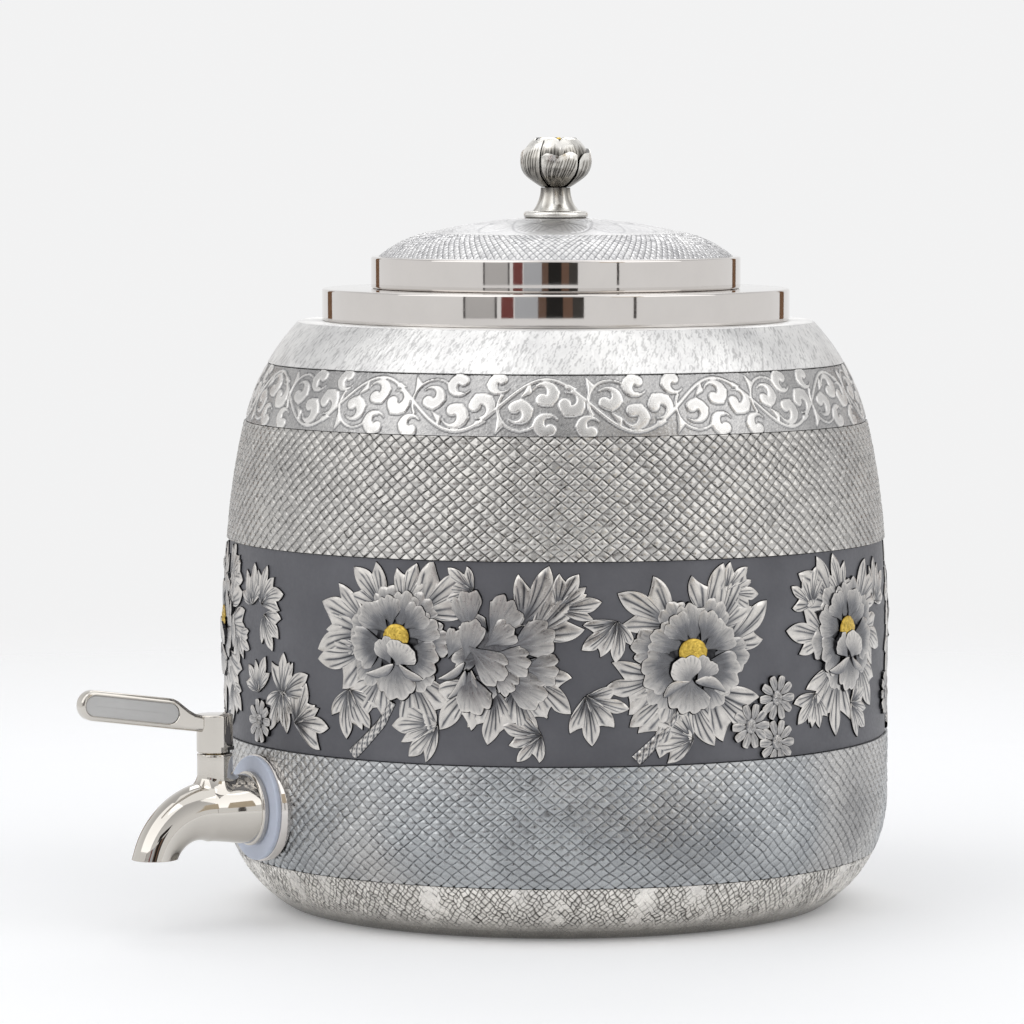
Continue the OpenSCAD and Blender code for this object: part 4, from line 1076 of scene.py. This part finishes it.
# petals of an open blossom: foot across and up, the side faced, length, half angle, layer, lobes and tones
OPEN_BACK = [(0.18, 0.29, 58, 0.7, 0.62, 0, 3, UNDER), (0.34, 0.05, 8, 0.72, 0.62, 0, 3, UNDER),
             (0.23, -0.25, -48, 0.72, 0.62, 0, 3, UNDER), (-0.23, -0.25, 228, 0.72, 0.62, 0, 3, UNDER),
             (-0.34, 0.05, 172, 0.7, 0.62, 0, 3, UNDER), (-0.15, 0.31, 116, 0.7, 0.6, 0, 3, UNDER),
             (0.02, 0.2, 84, 0.74, 0.58, 1, 3, DEEP), (0.17, 0.1, 32, 0.7, 0.62, 1, 3, DEEP),
             (0.18, -0.1, -22, 0.74, 0.74, 1, 4, UNDER), (-0.19, -0.08, 200, 0.72, 0.74, 1, 4, UNDER),
             (-0.17, 0.12, 146, 0.68, 0.6, 1, 3, DEEP),
             (-0.12, 0.26, 110, 0.56, 0.66, 2, 3, DEEP), (0.13, 0.24, 48, 0.56, 0.7, 2, 3, DEEP)]
OPEN_FRONT = [(0.03, -0.38, -88, 0.64, 0.9, 3, 4, BACK), (-0.07, -0.44, 124, 0.5, 0.62, 4, 2, BACK),
              (0.06, -0.46, 68, 0.46, 1.05, 5, 2, FOLD)]


def layered(place, petals, r, turn, flip, key):
    """Petals of a list, the whole turned a little and mirrored where flip is -1."""
    rng = np.random.default_rng(key)
    for k, (x, y, way, size, half, layer, lobes, tones) in enumerate(petals):
        foot = (flip * r * (x * math.cos(turn) - y * math.sin(turn)),
                r * (x * math.sin(turn) + y * math.cos(turn)))
        a = math.radians(way) + turn + rng.normal(0, 0.06)
        heights, low = LAYERS[layer]
        hatch = (11, 0.32) if tones is FOLD else (9, 0.16)
        length = size * r * rng.uniform(0.95, 1.05)
        faced = a if flip > 0 else math.pi - a
        petal(place, foot, faced, length, half, heights, low, key + k, tones, lobes, hatch)


def peony(place, r, spin, flip, seed):
    """Open blossom seen from the front, its gold stamens half hidden by two cupped petals."""
    key = 100 * seed
    # the heart under the petals is painted near black as shade
    dome_patch(flowers, place, (0, -0.05 * r), 0.5 * r, 0.5 * r, 0.3, 0.9, 0.06, 0.2, seed)
    layered(place, OPEN_BACK, r, spin, flip, key)
    dome_patch(gold, place, (0.01 * flip * r, 0.08 * r), 0.27 * r, 0.24 * r, 1.35, 1.85, 0.72, 0.8, seed)
    layered(place, OPEN_FRONT, r, 0.3 * spin, flip, key + 20)
    x = flip * r
    lip(place, (-0.02 * x, -0.44 * r), (-0.62 * x, -0.64 * r), 0.1 * r, (2.15, 1.7), 1.0, key + 40)
    lip(place, (0.56 * x, -0.7 * r), (0.1 * x, -0.44 * r), 0.085 * r, (1.75, 2.15), 1.0, key + 41)


# petals of a blossom seen from its side: foot across and up, the side faced, length, half angle and heights
FURTHER = (0.8, 1.4, 1.25)
BETWEEN = (1.2, 1.75, 1.6)
NEARER = (1.6, 2.2, 2.05)
SIDE_STACK = [(-1.0, -0.1, 66, 0.6, 0.5, FURTHER), (-0.6, 0.36, 96, 0.78, 0.5, FURTHER),
              (-0.24, 0.26, 55, 0.86, 0.54, FURTHER), (0.14, 0.12, 18, 0.84, 0.6, FURTHER),
              (0.34, -0.24, -4, 0.74, 0.56, FURTHER), (0.0, -0.4, -26, 0.86, 0.56, FURTHER),
              (-0.66, -0.12, 76, 0.72, 0.46, BETWEEN), (-0.3, 0.14, 34, 0.66, 0.5, BETWEEN),
              (-0.2, 0.02, -14, 0.76, 0.5, BETWEEN), (-0.16, -0.2, -46, 0.62, 0.5, BETWEEN),
              (-0.6, 0.16, -40, 0.86, 0.5, NEARER), (-0.58, -0.31, -80, 0.76, 0.62, NEARER)]
SIDE_LIPS = [((-0.66, -0.16), (-1.16, -0.48)), ((-0.64, -0.31), (-0.98, -0.84)),
             ((-0.2, -0.84), (-0.54, -0.31))]


def side_peony(place, r, seed):
    """Blossom seen from its side: petals overlap from the back to the front and no stamens show."""
    key = 100 * seed
    # the heart under the petals is painted darker as shade
    dome_patch(flowers, place, (0, 0), 0.5 * r, 0.5 * r, 0.3, 0.9, 0.34, 0.2, seed)
    layered(place, OPEN_BACK[:6], 0.85 * r, 0.3, 1, key)
    for k, (x, y, way, size, half, heights) in enumerate(SIDE_STACK):
        petal(place, (x * r, y * r), math.radians(way), size * r, half, heights, heights[0] - 0.7,
              key + 20 + k, BACK, 3, (9, 0.2))
    for k, (foot, tip) in enumerate(r * np.array(SIDE_LIPS)):
        lip(place, foot, tip, 0.075 * r, (2.15, 1.7), 0.9, key + 40 + k)


# ways that the leaves of a blossom point, in degrees; the blossoms take these lists in turn
CROWNS = [(130, 105, 180, 232, 252, 40, 0, -50), (49, 76, 119, 158, 176, 196, 243, 291),
          (57, 32, -38, -66, 260, 232), (127, 70, 45, 17, 206, 234, 250, 270, -60)]


def leaf_crown(place, z0, r, ways, seed):
    """Leaves that stand out from under a blossom, cut short where the frieze ends."""
    rng = np.random.default_rng(seed)
    root = 0.66 * r
    for k, way in enumerate(ways):
        a = math.radians(way)
        size = 1.15 * r * rng.uniform(0.9, 1.1)
        room = (SEAM_FRIEZE - z0 if math.sin(a) > 0 else z0 - SEAM_LOWER) - 1.0
        size = min(size, room / max(abs(math.sin(a)), 0.05) - root)
        if size > 0.4 * LEAF_LEN:
            foot = (root * math.cos(a), root * math.sin(a))
            leaf(place, foot, a + rng.normal(0, 0.12), size, 0.06 * (k % 3), 100 * seed + 60 + k)


for n, (turn0, share, size) in enumerate(BLOSSOMS):
    z0 = FRIEZE_MID + share * FRIEZE_H
    r = BLOSSOM_R * size
    place = frieze_place(turn0, z0)
    leaf_crown(place, z0, r, CROWNS[n % len(CROWNS)], 3 + n)
    if n in SIDE_VIEWS:
        side_peony(place, r, 3 + n)
    else:
        peony(place, r, 0.12 * (n % 5 - 2), -1 if n % 4 == 3 else 1, 3 + n)

for n, (turn0, share, tilt, size) in enumerate(LEAVES):
    place = frieze_place(turn0, FRIEZE_MID + share * FRIEZE_H)
    a = math.radians(90 + tilt)
    foot = -0.45 * LEAF_LEN * size * np.array([math.cos(a), math.sin(a)])
    leaf(place, foot, a + 0.55, 0.95 * LEAF_LEN * size, 0.05, 2000 + 2 * n)
    leaf(place, foot, a - 0.4, 1.05 * LEAF_LEN * size, 0.12, 2001 + 2 * n)


def daisy(turn0, z0, seed):
    """Small flower of ten round petals and a stippled eye."""
    place = frieze_place(turn0, z0)
    rng = np.random.default_rng(seed)
    u, v = patch(8, 11)
    for way in turns(10):
        a = way + rng.normal(0, 0.03)
        rho = DAISY_R * (0.25 + 0.75 * u * (1 - 0.16 * v ** 4))
        ang = a + 0.29 * v * (0.72 + 0.28 * np.sin(np.pi * u))
        vein = strokes(rng, 8, 11, 3, 0.2, 0.95)
        h = 0.7 + 0.55 * np.sin(np.pi * (0.15 + 0.6 * u)) - 0.22 * v ** 2 - 0.05 * vein
        tone = 0.5 + 0.35 * u - 0.35 * vein + 0.05 * rng.normal(0, 1, (8, 11))
        skirted(flowers, rho * np.cos(ang), rho * np.sin(ang), h, tone, place, 0.0, 0.22)
    dome_patch(flowers, place, (0, 0), 0.29 * DAISY_R, 0.36 * DAISY_R, 0.9, 1.7, 0.62, 0.7, seed)


for n, (turn0, share) in enumerate(DAISIES):
    daisy(turn0, FRIEZE_MID + share * FRIEZE_H, 300 + n)


def twig(turn0, points, width, seed):
    """Rough twig with hatched bark along points of the frieze."""
    place = frieze_place(turn0, FRIEZE_MID)
    rng = np.random.default_rng(seed)
    p = np.asarray(points, float)
    k = np.linspace(0, 1, 30)
    along = np.linspace(0, 1, len(p))
    x = np.interp(k, along, p[:, 0])
    y = np.interp(k, along, p[:, 1])
    d = np.stack([np.gradient(x), np.gradient(y)], -1)
    d /= np.linalg.norm(d, axis=1)[:, None]
    v = np.linspace(-1, 1, 11)[None, :]
    w = width * (1 - 0.35 * k)[:, None]
    a = x[:, None] - d[:, 1, None] * w * v
    b = y[:, None] + d[:, 0, None] * w * v
    hatch = sum(np.clip(np.cos(46 * k[:, None] + lean * v), 0, 1) ** 3 for lean in (5, -5))
    h = 0.2 + 0.8 * np.sqrt(np.clip(1 - v ** 2, 0, 1)) - 0.12 * hatch
    tone = 0.95 - 0.9 * np.clip(hatch, 0, 1) + 0.05 * rng.normal(0, 1, h.shape)
    skirted(greens, a, b, h, tone, place, -0.02, 0.25)


TWIG_LINE = [(-9, -30.5), (-4, -26), (2, -20), (6, -13)]
for n, turn0 in enumerate(TWIGS):
    twig(turn0, TWIG_LINE, 1.9, 400 + n)

flowers.make("blossom_relief", RELIEF, "vessel", ["frieze_blossoms"], sharp=48)
greens.make("leaf_relief", RELIEF, "vessel", ["frieze_leaves"], sharp=48)
gold.make("stamen_relief", GOLD, "vessel", ["frieze_stamens"], sharp=0)


# tap; local x runs out from the barrel axis, y sideways and z up from the tap axis
def at_tap(p):
    """Points of the tap, placed on the barrel."""
    p = np.asarray(p, float)
    return np.stack([p[..., 1], -p[..., 0], p[..., 2] + TAP_H], -1)


def tap_lathe(store, profile, tone=0.9, steps=128):
    """Revolve about the tap axis of a profile of (distance out, radius); outside faces run outward."""
    p = np.asarray(profile, float)
    t = turns(steps)
    pts = np.stack([p[:, 0, None] + 0 * t, p[:, 1, None] * np.cos(t), p[:, 1, None] * np.sin(t)], -1)
    store.grid(at_tap(pts)[::-1], tone, wrap=True)


def stem_ring(r, z, angles):
    """Ring of points round the upright axis of the stem."""
    return np.stack([STEM_X + r * np.cos(angles), r * np.sin(angles), z + 0 * angles], -1)


boss = Store()
t = turns(160)
rows = []
for x, r in [(None, BOSS_R), (BOSS_FACE - 0.5, BOSS_R), (BOSS_FACE - 0.15, BOSS_R - 0.15),
             (BOSS_FACE, BOSS_R - 0.5), (BOSS_FACE, TAP_HOLE), (None, TAP_HOLE)]:
    y = r * np.cos(t)
    out = np.sqrt(BELLY_R ** 2 - y ** 2) - 0.35 if x is None else np.full(160, x)
    rows.append(np.stack([out, y, r * np.sin(t)], -1))
boss.grid(at_tap(np.array(rows))[::-1], 0.9, wrap=True)
boss.make("boss_ring", POLISH, "vessel", ["tap_boss"])

gasket = Store()
GASKET_ROUND = 0.6
GASKET_HOLE = TAP_HOLE + 0.1
tap_lathe(gasket, [(BOSS_FACE, GASKET_HOLE), (BOSS_FACE, GASKET_R - 0.2)]
          + arc(TAP_FACE - GASKET_ROUND, GASKET_R - GASKET_ROUND, GASKET_ROUND, 90, 0, 7)
          + [(TAP_FACE, GASKET_HOLE), (BOSS_FACE, GASKET_HOLE)], steps=160)
gasket.make("gasket_disc", SILICONE, "vessel", ["outer_gasket"])

# tap body: horn swept round its bend and cut level at the outlet
HORN_START = TAP_FACE + 1.0
HORN_BACK_R = 11.4
HORN_BEND_R = 9.8
HORN_END_R = 7.2
HORN_WALL = 1.7
RUN = BEND_X - HORN_START
ARC = BEND_R * BEND_ANGLE


def horn_radius(s):
    """Radius of the horn at the distance s along it."""
    k = np.clip((s - RUN) / ARC, 0, 1)
    back = HORN_BACK_R + (HORN_BEND_R - HORN_BACK_R) * smooth(0.0, RUN, s)
    return np.where(s < RUN, back, HORN_BEND_R + (HORN_END_R - HORN_BEND_R) * (1 - (1 - k) ** 2))


def bore_radius(s):
    """Radius of the waterway at the distance s along the horn."""
    return horn_radius(s) - HORN_WALL


def horn_path(s):
    """Middle line of the horn: distance out, height, and the angle it has bent by."""
    bend = np.clip(s - RUN, 0, ARC) / BEND_R
    past = np.maximum(s - RUN - ARC, 0)
    x = HORN_START + np.minimum(s, RUN) + BEND_R * np.sin(bend) + past * np.cos(bend)
    z = BEND_R * (np.cos(bend) - 1) - past * np.sin(bend)
    return x, z, bend


def horn_at(s, a, radius):
    """Points round the horn, a being 0 along its top."""
    x, z, bend = horn_path(s)
    return np.stack([x + radius * np.cos(a) * np.sin(bend), radius * np.sin(a) + 0 * x,
                     z + radius * np.cos(a) * np.cos(bend)], -1)


def horn_end(a, radius):
    """How far along the horn each line of it meets the level cut of the outlet."""
    low = np.zeros_like(a)
    high = np.full_like(a, RUN + ARC + 15)
    for _ in range(40):
        mid = (low + high) / 2
        above = horn_at(mid, a, radius(mid))[..., 2] > -OUTLET_DROP
        low = np.where(above, mid, low)
        high = np.where(above, high, mid)
    return low


tap = Store()
a = turns(96)
end = horn_end(a, horn_radius)
s = end[None, :] * np.linspace(0, 1, 70)[:, None]
horn = horn_at(s, a[None, :].repeat(70, 0), horn_radius(s))
tap.grid(at_tap(horn), 0.9, wrap=True)
inner_end = horn_end(a, bore_radius)
outer = horn[-1]
across = horn_at(inner_end, a, bore_radius(inner_end)) - outer
lip_rows = [outer + share * across - np.array([0, 0, drop])
            for share, drop in ((0, 0), (0.15, 0.18), (0.85, 0.18), (1, 0))]
tap.grid(at_tap(np.array(lip_rows)), 0.9, wrap=True)
bore = [horn_at(inner_end - d, a, bore_radius(inner_end - d)) for d in (0, 2, 5, 9, 14)]
tap.grid(at_tap(np.array(bore)), 0.4, wrap=True)

# rear flange, shank and neck
REAR_R = 12.1
REAR_T = 2.4
REAR_ROUND = 0.7
SHANK_R = 8.0
SHANK_LEN = 24.0
SHANK_BORE = 5.0
THREAD_DEPTH = 0.45
corner = REAR_R - REAR_ROUND
tap_lathe(tap, [(TAP_FACE, SHANK_R), (TAP_FACE + 0.05, HORN_BACK_R)]
          + arc(TAP_FACE + REAR_ROUND, corner, REAR_ROUND, 180, 90, 7)
          + arc(TAP_FACE + REAR_T - REAR_ROUND, corner, REAR_ROUND, 90, 0, 7)
          + [(TAP_FACE + REAR_T + 0.1, HORN_BACK_R - 0.15)])
shank_end = TAP_FACE - SHANK_LEN
thread = [(shank_end + 0.5 * i, SHANK_R if i % 3 else SHANK_R - THREAD_DEPTH) for i in range(49)]
tap_lathe(tap, [(shank_end, SHANK_BORE)] + thread, 0.6)
tap_lathe(tap, [(TAP_FACE + 2, SHANK_BORE), (shank_end, SHANK_BORE)], 0.5, steps=64)

FILLET = 2.9
NECK_R = 5.8
NECK_TOP = 18.7
NECK_ROUND = 0.4
CHAMBER_R = 4.2


def horn_top(x, y):
    """Height of the top of the horn over a point beside its axis."""
    bend = np.arcsin(np.clip((x - BEND_X) / BEND_R, 0, 0.9))
    r = horn_radius(np.where(x < BEND_X, x - HORN_START, RUN + bend * BEND_R))
    return np.sqrt(np.maximum(r ** 2 - y ** 2, 0.2)) - BEND_R * (1 - np.cos(bend))


t = turns(96)
rows = []
for w in np.linspace(0, math.pi / 2, 12):
    ring = stem_ring(NECK_R + FILLET * (1 - math.sin(w)), FILLET * (1 - math.cos(w)) - 0.1, t)
    ring[:, 2] += horn_top(ring[:, 0], ring[:, 1])
    rows.append(ring)
neck_edge = arc(NECK_R - NECK_ROUND, NECK_TOP - NECK_ROUND, NECK_ROUND, 0, 90, 5)[1:]
chamber = [(CHAMBER_R, NECK_TOP), (CHAMBER_R, 16.0)]
rows += [stem_ring(r, z, t) for r, z in [(NECK_R, 16.5), (NECK_R, 17.9)] + neck_edge + chamber]
tap.grid(at_tap(np.array(rows)), 0.9, wrap=True)
tap.make("tap_casting", STEEL, "vessel", ["tap_body"], sharp=40)

# handle: hub with the stop slot, and the lever with its two pockets
HUB_Z = 19.1
HUB_TOP = 31.4
HUB_R = 5.9
HUB_ROUND = 0.5
HUB_BORE = 2.96
SLOT_R = 4.2
SLOT_TOP = HUB_Z + 2.0
PIN_R = 0.5
PIN_AT = 4.98
SLOPE = math.radians(8.5)
TIP_R = 4.9
TIP_X = 44.1
LEVER_Z = HUB_TOP - 5.4 + TIP_R / math.cos(SLOPE) - HUB_R * math.tan(SLOPE)
ROUND = 1.3
HALF = 2.5
POCKET_X = 17.4
POCKET = 3.4
POCKET_MOUTH = POCKET + 0.18
handle = Store()


def hub_rings(pairs, angles, tone=0.9, wrap=True):
    """Surface through rings of (radius, height) round the stem."""
    handle.grid(at_tap(np.array([stem_ring(r, z, angles) for r, z in pairs])), tone, wrap=wrap)


full = turns(128)
hub_rings([(HUB_BORE, SLOT_TOP), (HUB_R, SLOT_TOP), (HUB_R, HUB_TOP - HUB_ROUND)]
          + arc(HUB_R - HUB_ROUND, HUB_TOP - HUB_ROUND, HUB_ROUND, 0, 90, 6)
          + [(0.02, HUB_TOP + 0.02)], full)
hub_rings([(HUB_BORE, HUB_Z), (SLOT_R, HUB_Z), (SLOT_R, SLOT_TOP)], full, 0.5)
# the slot leaves the quarter turn free, and the stop pin's own width with a little play
span = math.asin(PIN_R / PIN_AT) + math.radians(1.5)
skirt = np.linspace(math.pi + span, 2.5 * math.pi - span, 90)
hub_rings([(SLOT_R, HUB_Z), (HUB_R - 0.3, HUB_Z), (HUB_R, HUB_Z + 0.3), (HUB_R, SLOT_TOP + 0.01)], skirt,
          wrap=False)
for end_at in (skirt[0], skirt[-1]):
    corners = [stem_ring(r, z, end_at)
               for r, z in ((SLOT_R, HUB_Z), (HUB_R, HUB_Z), (HUB_R, SLOT_TOP), (SLOT_R, SLOT_TOP))]
    handle.add(at_tap(np.array(corners)), [[0, 1, 2, 3]], 0.6)


def lever_outline():
    """Outline of the lever seen from its side, before it is tilted, turning to the left."""
    under = [(x, -TIP_R) for x in (3.0, 10, 20, 30, 38)]
    upper = [(x, TIP_R) for x in (38, 30, 22)]
    knee = [(18.2, 4.9), (16.4, 4.86), (14.6, 4.25), (12.6, 3.1), (10.2, 1.75), (8.0, 0.85), (5.6, 0.5)]
    return np.array(under + arc(TIP_X, 0, TIP_R, -90, 90, 33) + upper + knee + [(3.0, 0.45)])


def inset(outline, d):
    """Outline drawn in by a distance, moved along the mean of each point's two edge normals."""
    e = np.roll(outline, -1, 0) - outline
    n = np.stack([e[:, 1], -e[:, 0]], -1)
    n /= np.linalg.norm(n, axis=1)[:, None]
    m = n + np.roll(n, 1, 0)
    m /= np.maximum((m * n).sum(1), 0.3)[:, None]
    return outline - d * m


def on_lever(outline, side):
    """Points of the lever's side view, tilted and set at a distance to the side."""
    x, y = outline.T
    return at_tap(np.stack([STEM_X + x * math.cos(SLOPE) - y * math.sin(SLOPE), side + 0 * x,
                            LEVER_Z + x * math.sin(SLOPE) + y * math.cos(SLOPE)], -1))


def pill(r):
    """Outline of the lever's pocket at the distance r from its middle line."""
    return np.array(arc(TIP_X, 0, r, -90, 90, 24) + arc(POCKET_X, 0, r, 90, 270, 24))


def pill_loops(steps, side):
    """Pocket outlines of (distance from the middle line, distance to the side)."""
    return np.array([on_lever(pill(r), side * d) for r, d in steps])


shape = lever_outline()
rings = []
for side, start in ((-1, -90), (1, 0)):
    for w in np.radians(np.linspace(start, start + 90, 8)):
        outline = inset(shape, ROUND * (1 - math.cos(w)))
        rings.append(on_lever(outline, side * (HALF - ROUND) + ROUND * math.sin(w)))
handle.grid(np.array(rings)[::-1], 0.9, wrap=True)
loops = [inset(shape, ROUND), pill(POCKET_MOUTH)[::-1]]
faces = tessellate_polygon([[Vector((*p, 0)) for p in loop] for loop in loops])
for side in (-1, 1):
    handle.add(on_lever(np.concatenate(loops), side * HALF), None, 0.9, tris=faces)
    handle.grid(pill_loops([(POCKET_MOUTH, HALF), (POCKET, HALF - 0.2), (POCKET, HALF - 0.95),
                            (POCKET - 0.6, HALF - 0.95)], side), 0.6, wrap=True)
handle.make("handle_casting", STEEL, "lever", ["tap_handle"], sharp=32)

plates = Store()
PLATE_R = POCKET - 0.1
PLATE_FACE = HALF - 0.36
for side in (-1, 1):
    loops = pill_loops([(PLATE_R, HALF - 0.94), (PLATE_R, PLATE_FACE - 0.15),
                        (PLATE_R - 0.15, PLATE_FACE), (PLATE_R - 0.35, PLATE_FACE),
                        (0.5 * PLATE_R, PLATE_FACE), (0.02, PLATE_FACE)], side)
    plates.grid(loops if side < 0 else loops[::-1], 0.6, wrap=True)
plates.make("inlay_plates", INLAY, "lever", ["handle_inlays"], sharp=32)

# floor, lights and camera
scene = bpy.context.scene


def stage_face(name, verts, colour, rough):
    """Flat four-sided piece of the stage, with the node tree and shader of its material."""
    me = bpy.data.meshes.new(name)
    me.from_pydata(verts, [], [(0, 1, 2, 3)])
    me.update()
    mat, tree, bsdf = material(name)
    bsdf.inputs["Base Color"].default_value = (*colour, 1)
    bsdf.inputs["Roughness"].default_value = rough
    bsdf.inputs["Specular IOR Level"].default_value = 0.1
    me.materials.append(mat)
    obj = bpy.data.objects.new(name, me)
    scene.collection.objects.link(obj)
    return obj, tree, bsdf


def math_node(tree, operation, first, second):
    """Result of a math node on a socket and a second socket or number."""
    node = tree.nodes.new("ShaderNodeMath")
    node.operation = operation
    tree.links.new(first, node.inputs[0])
    if isinstance(second, float):
        node.inputs[1].default_value = second
    else:
        tree.links.new(second, node.inputs[1])
    return node.outputs[0]


def looked_at(tree):
    """1 for rays of the camera, a mirror image or something clear, and 0 for the rays that light."""
    rays = tree.nodes.new("ShaderNodeLightPath").outputs
    seen = math_node(tree, "MAXIMUM", rays["Is Camera Ray"], rays["Is Glossy Ray"])
    return math_node(tree, "MAXIMUM", seen, rays["Is Transmission Ray"])


def mixed(tree, share, first, second, surface):
    """Two shaders mixed by a share, joined to an output."""
    node = tree.nodes.new("ShaderNodeMixShader")
    tree.links.new(share, node.inputs["Fac"])
    tree.links.new(first, node.inputs[1])
    tree.links.new(second, node.inputs[2])
    tree.links.new(node.outputs["Shader"], surface)


# the floor glows a little where it is looked at, and fades away from the part
FLOOR_HALF = 3
FLOOR_Z = -0.0002
FLOOR_GLOW = 0.17
FADE_FROM = 0.35
FADE_TO = 1.1
corners = [(FLOOR_HALF * x, FLOOR_HALF * y, FLOOR_Z) for x, y in ((-1, -1), (1, -1), (1, 1), (-1, 1))]
_, tree, bsdf = stage_face("floor", corners, (0.9, 0.9, 0.905), 0.7)
bsdf.inputs["Emission Color"].default_value = (1, 1, 1, 1)
glow = math_node(tree, "MULTIPLY", looked_at(tree), FLOOR_GLOW)
tree.links.new(glow, bsdf.inputs["Emission Strength"])
far = tree.nodes.new("ShaderNodeVectorMath")
far.operation = "LENGTH"
tree.links.new(tree.nodes.new("ShaderNodeTexCoord").outputs["Object"], far.inputs[0])
fade = tree.nodes.new("ShaderNodeMapRange")
fade.interpolation_type = "SMOOTHSTEP"
fade.inputs["From Min"].default_value = FADE_FROM
fade.inputs["From Max"].default_value = FADE_TO
tree.links.new(far.outputs["Value"], fade.inputs["Value"])
clear = tree.nodes.new("ShaderNodeBsdfTransparent")
surface = bsdf.outputs["BSDF"].links[0].to_socket
mixed(tree, fade.outputs["Result"], bsdf.outputs["BSDF"], clear.outputs["BSDF"], surface)

VIEW_TURN = 59
VIEW = math.radians(VIEW_TURN)
away = Vector((math.sin(VIEW), -math.cos(VIEW), 0))
right = Vector((math.cos(VIEW), math.sin(VIEW), 0))


def card(name, offset0, offset1, low, high, reach, colour):
    """Upright card out of the picture, for the metal to reflect."""
    a0 = VIEW + math.radians(offset0)
    a1 = VIEW + math.radians(offset1)
    first = (reach * math.sin(a0), -reach * math.cos(a0))
    last = (reach * math.sin(a1), -reach * math.cos(a1))
    obj = stage_face(name, [(*first, low), (*last, low), (*last, high), (*first, high)], colour, 0.8)[0]
    obj.visible_camera = False
    obj.visible_shadow = False


# offsets from the camera's side, lower and upper height, distance from the axis and colour of each card
FAR = 2.5
NEAR = 1.5
CARDS = [(-45, -43.8, 0, 0.8, FAR, (0.2, 0.19, 0.185)), (-43.8, -29.2, 0, 0.8, FAR, (0.84, 0.82, 0.8)),
         (-29.2, -28, 0, 0.8, FAR, (0.2, 0.19, 0.185)), (-26, -20, 0, 0.8, FAR, (0.3, 0.1, 0.09)),
         (-19.5, -8.4, 0, 0.8, FAR, (0.74, 0.76, 0.79)), (-8.4, -4.5, 0, 0.8, FAR, (0.24, 0.15, 0.11)),
         (-4.5, 3.5, 0, 0.9, FAR, (0.03, 0.028, 0.026)), (3.5, 8, 0, 0.8, FAR, (0.26, 0.155, 0.11)),
         (8, 13.4, 0, 0.8, FAR, (0.09, 0.083, 0.076)), (-10, 10, 0.9, 1.2, FAR, (0.04, 0.037, 0.034)),
         (37.5, 39, 0, 0.7, FAR, (0.12, 0.11, 0.105)), (27, 43, 0.38, 0.95, NEAR, (0.8, 0.68, 0.52)),
         (-150, -142, 0, 0.8, FAR, (0.3, 0.17, 0.1)), (142, 150, 0, 0.8, FAR, (0.3, 0.17, 0.1))]
for n, values in enumerate(CARDS):
    card("card_%d" % n, *values)

# the world lights evenly, and looks pale below and greyer overhead
world = bpy.data.worlds.new("studio")
scene.world = world
world.use_nodes = True
tree = world.node_tree
tree.nodes.clear()
light = tree.nodes.new("ShaderNodeBackground")
light.inputs["Color"].default_value = (0.95, 0.97, 1.0, 1)
light.inputs["Strength"].default_value = 0.5
pale = tree.nodes.new("ShaderNodeBackground")
pale.inputs["Strength"].default_value = 1.0
split = tree.nodes.new("ShaderNodeSeparateXYZ")
tree.links.new(tree.nodes.new("ShaderNodeTexCoord").outputs["Generated"], split.inputs["Vector"])
shade = ramp(tree, split.outputs["Z"], [(0.25, (0.89, 0.89, 0.892)), (0.8, (0.6, 0.6, 0.605))])
tree.links.new(shade, pale.inputs["Color"])
surface = tree.nodes.new("ShaderNodeOutputWorld").inputs["Surface"]
mixed(tree, looked_at(tree), light.outputs["Background"], pale.outputs["Background"], surface)

LAMP_AIM = Vector((0, 0, 0.12))


def softbox(name, azimuth, elevation, distance, wide, high, power):
    """Area lamp that faces the part from a compass angle and a height angle in degrees."""
    a = math.radians(azimuth)
    e = math.radians(elevation)
    data = bpy.data.lights.new(name, "AREA")
    data.shape = "RECTANGLE"
    data.size = wide
    data.size_y = high
    data.energy = power
    obj = bpy.data.objects.new(name, data)
    reach = Vector((math.sin(a) * math.cos(e), -math.cos(a) * math.cos(e), math.sin(e))) * distance
    obj.location = LAMP_AIM + reach
    obj.rotation_euler = (-reach).to_track_quat("-Z", "Y").to_euler()
    scene.collection.objects.link(obj)


softbox("key", VIEW_TURN - 58, 42, 2.2, 2.2, 2.2, 13.4)
softbox("fill", VIEW_TURN + 62, 38, 2.3, 2.0, 2.0, 11)
softbox("top", VIEW_TURN, 86, 1.9, 1.9, 1.9, 6.5)
softbox("back", VIEW_TURN + 180, 46, 2.2, 1.4, 1.0, 7)

CAMERA_OUT = 1.707
CAMERA_Z = 0.255
TARGET_LEFT = 0.01457
TARGET_Z = 0.13
cam_data = bpy.data.cameras.new("camera")
cam_data.sensor_width = 36
cam_data.lens = 180
cam_data.clip_start = 0.05
cam_data.clip_end = 50
camera = bpy.data.objects.new("camera", cam_data)
camera.location = away * CAMERA_OUT + Vector((0, 0, CAMERA_Z))
target = Vector((0, 0, TARGET_Z)) - right * TARGET_LEFT
camera.rotation_euler = (target - camera.location).to_track_quat("-Z", "Y").to_euler()
scene.collection.objects.link(camera)
scene.camera = camera

scene.view_settings.view_transform = "Standard"
